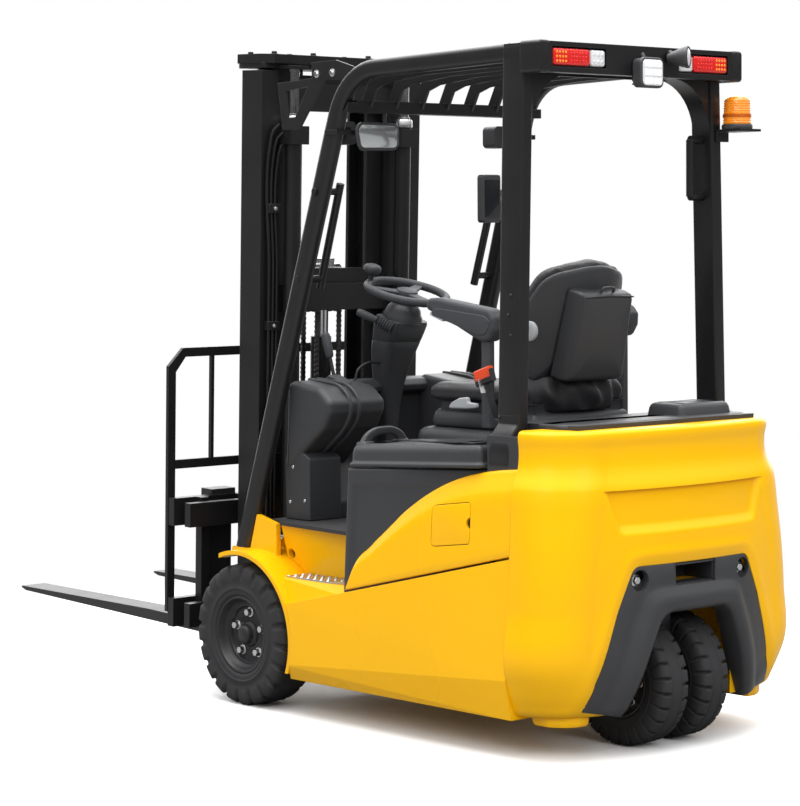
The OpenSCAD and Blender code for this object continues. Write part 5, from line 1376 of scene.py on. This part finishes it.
# Mast: three nested pairs of rolled channels, black, with ties welded between them. Two lift cylinders stand
# behind the outer rails, and the free-lift ram carries the sheaves of two leaf chains in the middle.
mast_black = finish("mast_black", (0.010, 0.010, 0.011), 0.36, drift=0.15, patch=6, grain=700, relief=0.015,
                    edge=2.5, Specular_IOR_Level=0.5)
for node in ("outer_rails", "outer_ties", "lift_cylinders", "middle_rails", "middle_ties", "inner_rails",
             "inner_ties", "free_lift_cylinder", "carriage", "shift_frame", "load_backrest", "tilt_barrels"):
    dress(node, mast_black)
chrome = finish("bright_rod", (0.78, 0.78, 0.79), 0.14, drift=0.05, patch=20, grain=900, relief=0.004, edge=0.8,
                Metallic=1.0)
for node in ("lift_rods", "ram_head", "tilt_rods"):
    dress(node, chrome)
chain_steel = finish("chain_steel", (0.11, 0.105, 0.1), 0.42, drift=0.3, patch=60, grain=500, relief=0.04, edge=0.6,
                     Metallic=0.8)
ram_x, ram_top, sheave_r, sheave_y = 250, 1280, 36, 48
chain_points, chain_links = 900, 130


def leaf_chain(side):
    """A leaf chain over its sheave: a flat profile carried up, round and down, whose height and width swell
    at each pair of link plates."""
    arc = np.linspace(np.pi, 0, 30)
    up = np.stack([np.full(2, ram_x - sheave_r), [262, ram_top + 9]], 1)
    over = np.stack([ram_x + sheave_r * np.cos(arc), ram_top + 10 + sheave_r * np.sin(arc)], 1)
    path = along(np.concatenate([up, over, up[::-1] + [2 * sheave_r, 0]]), chain_points)
    link_turn = np.linspace(0, 1, chain_points) * np.pi * chain_links
    links = np.abs(np.sin(link_turn))
    size = np.stack([0.62 + 0.38 * np.sqrt(links), 0.82 + 0.18 * (np.sin(2 * link_turn) > 0)], 1)
    points = np.stack([path[:, 0], np.full(chain_points, side * sheave_y), path[:, 1]], 1)
    return sweep(points, bar_profile(11, 19, 2, 1)[None] * size[:, None], up=(0, 1, 0))


chains = piece("leaf_chains", [leaf_chain(1), leaf_chain(-1)], "ram", chain_steel, where=on_mast,
               sharp=30)
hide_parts("lift_chains")
flange = [[12, 31], [sheave_r - 5, 31], [sheave_r + 6, 33], [sheave_r + 6, 36.5], [sheave_r - 6, 37.5],
          [sheave_r - 6, 58.5], [sheave_r + 6, 59.5], [sheave_r + 6, 61], [sheave_r - 4, 62], [12, 62]]
sheaves = [spun(flange, (ram_x, 0, ram_top + 10), (0, s, 0), 40) for s in (1, -1)]
piece("chain_sheaves", sheaves, "ram", mast_black, where=on_mast)

# Pipes on the mast: steel lines with clamps along the left outer rail feed the cylinders, and glands with
# bright rings close each cylinder.
pipe_steel = finish("pipe_black", (0.012, 0.012, 0.013), 0.3, drift=0.1, patch=12, edge=1.0)
pipes = []
for k, y in enumerate((286, 302, 318)):
    top = 1760 + 26 * k
    upright = [[138, y, z] for z in (250 + 30 * k, 600, 1000, 1400, top)]
    pipe_path = spine(upright + [[136, y - 8, top + 40], [124, y - 26, top + 62]], 60)
    pipes.append(tube(pipe_path, 11, 12, up=(1, 0, 0)))
clamp_z = (420, 830, 1215, 1600)
clamps = [soft_box((128, 277, z - 15), (150, 327, z + 15), 3, 2) for z in clamp_z]
piece("mast_pipes", pipes + clamps, "mast_outer", pipe_steel, where=on_mast)
gland = [[19, 0], [31, 0], [31, 22], [28, 26], [22, 27], [22, 34], [19, 34]]
glands = [spun(gland, (116, s * 240, 1876), (0, 0, 1), 36) for s in (1, -1)]
clamp_bolts = hex_bolts([[127.5, 302, z] for z in clamp_z], 11, 6, (-1, 0, 0), 1.3)
piece("cylinder_glands", glands + clamp_bolts, "mast_outer", bright_steel, where=on_mast)
cap_bolt_at = [[x, s * y, 2103] for y in (285, 120) for x in (165, 290) for s in (1, -1)]
cap_bolts = hex_bolts(cap_bolt_at, 20, 10, (0, 0, 1), 1.4)
cap_skirt = rounded([[156, -338], [156, 338], [300, 338], [300, -338]], [6, 16, 24, 16])
piece("cap_skirt", [prism(cap_skirt, 2057, 2075, (0, 1, 2))], "mast_inner", mast_black,
      where=on_mast)
piece("cap_bolts", cap_bolts, "mast_inner", mast_black, where=on_mast)

# Carriage, side shift and forks: burnt plate and rolled bar in black. The forks are forged, with worn heels,
# and hang on the shifting frame, whose guides are held to its uprights by bright bolts.
fork_steel = finish("fork_black", (0.02, 0.02, 0.021), 0.45, drift=0.3, patch=10, grain=300, relief=0.03, edge=3.0)
dress("forks", fork_steel)
bar_z, guide_y = 204, 410
shift_bolt_at = [[369, s * guide_y, bar_z + h] for h in (30, 200, 330) for s in (1, -1)]
shift_bolts = hex_bolts(shift_bolt_at, 18, 10, (-1, 0, 0), 1.4)
piece("shift_bolts", shift_bolts, "shifter", bright_steel, where=on_mast)
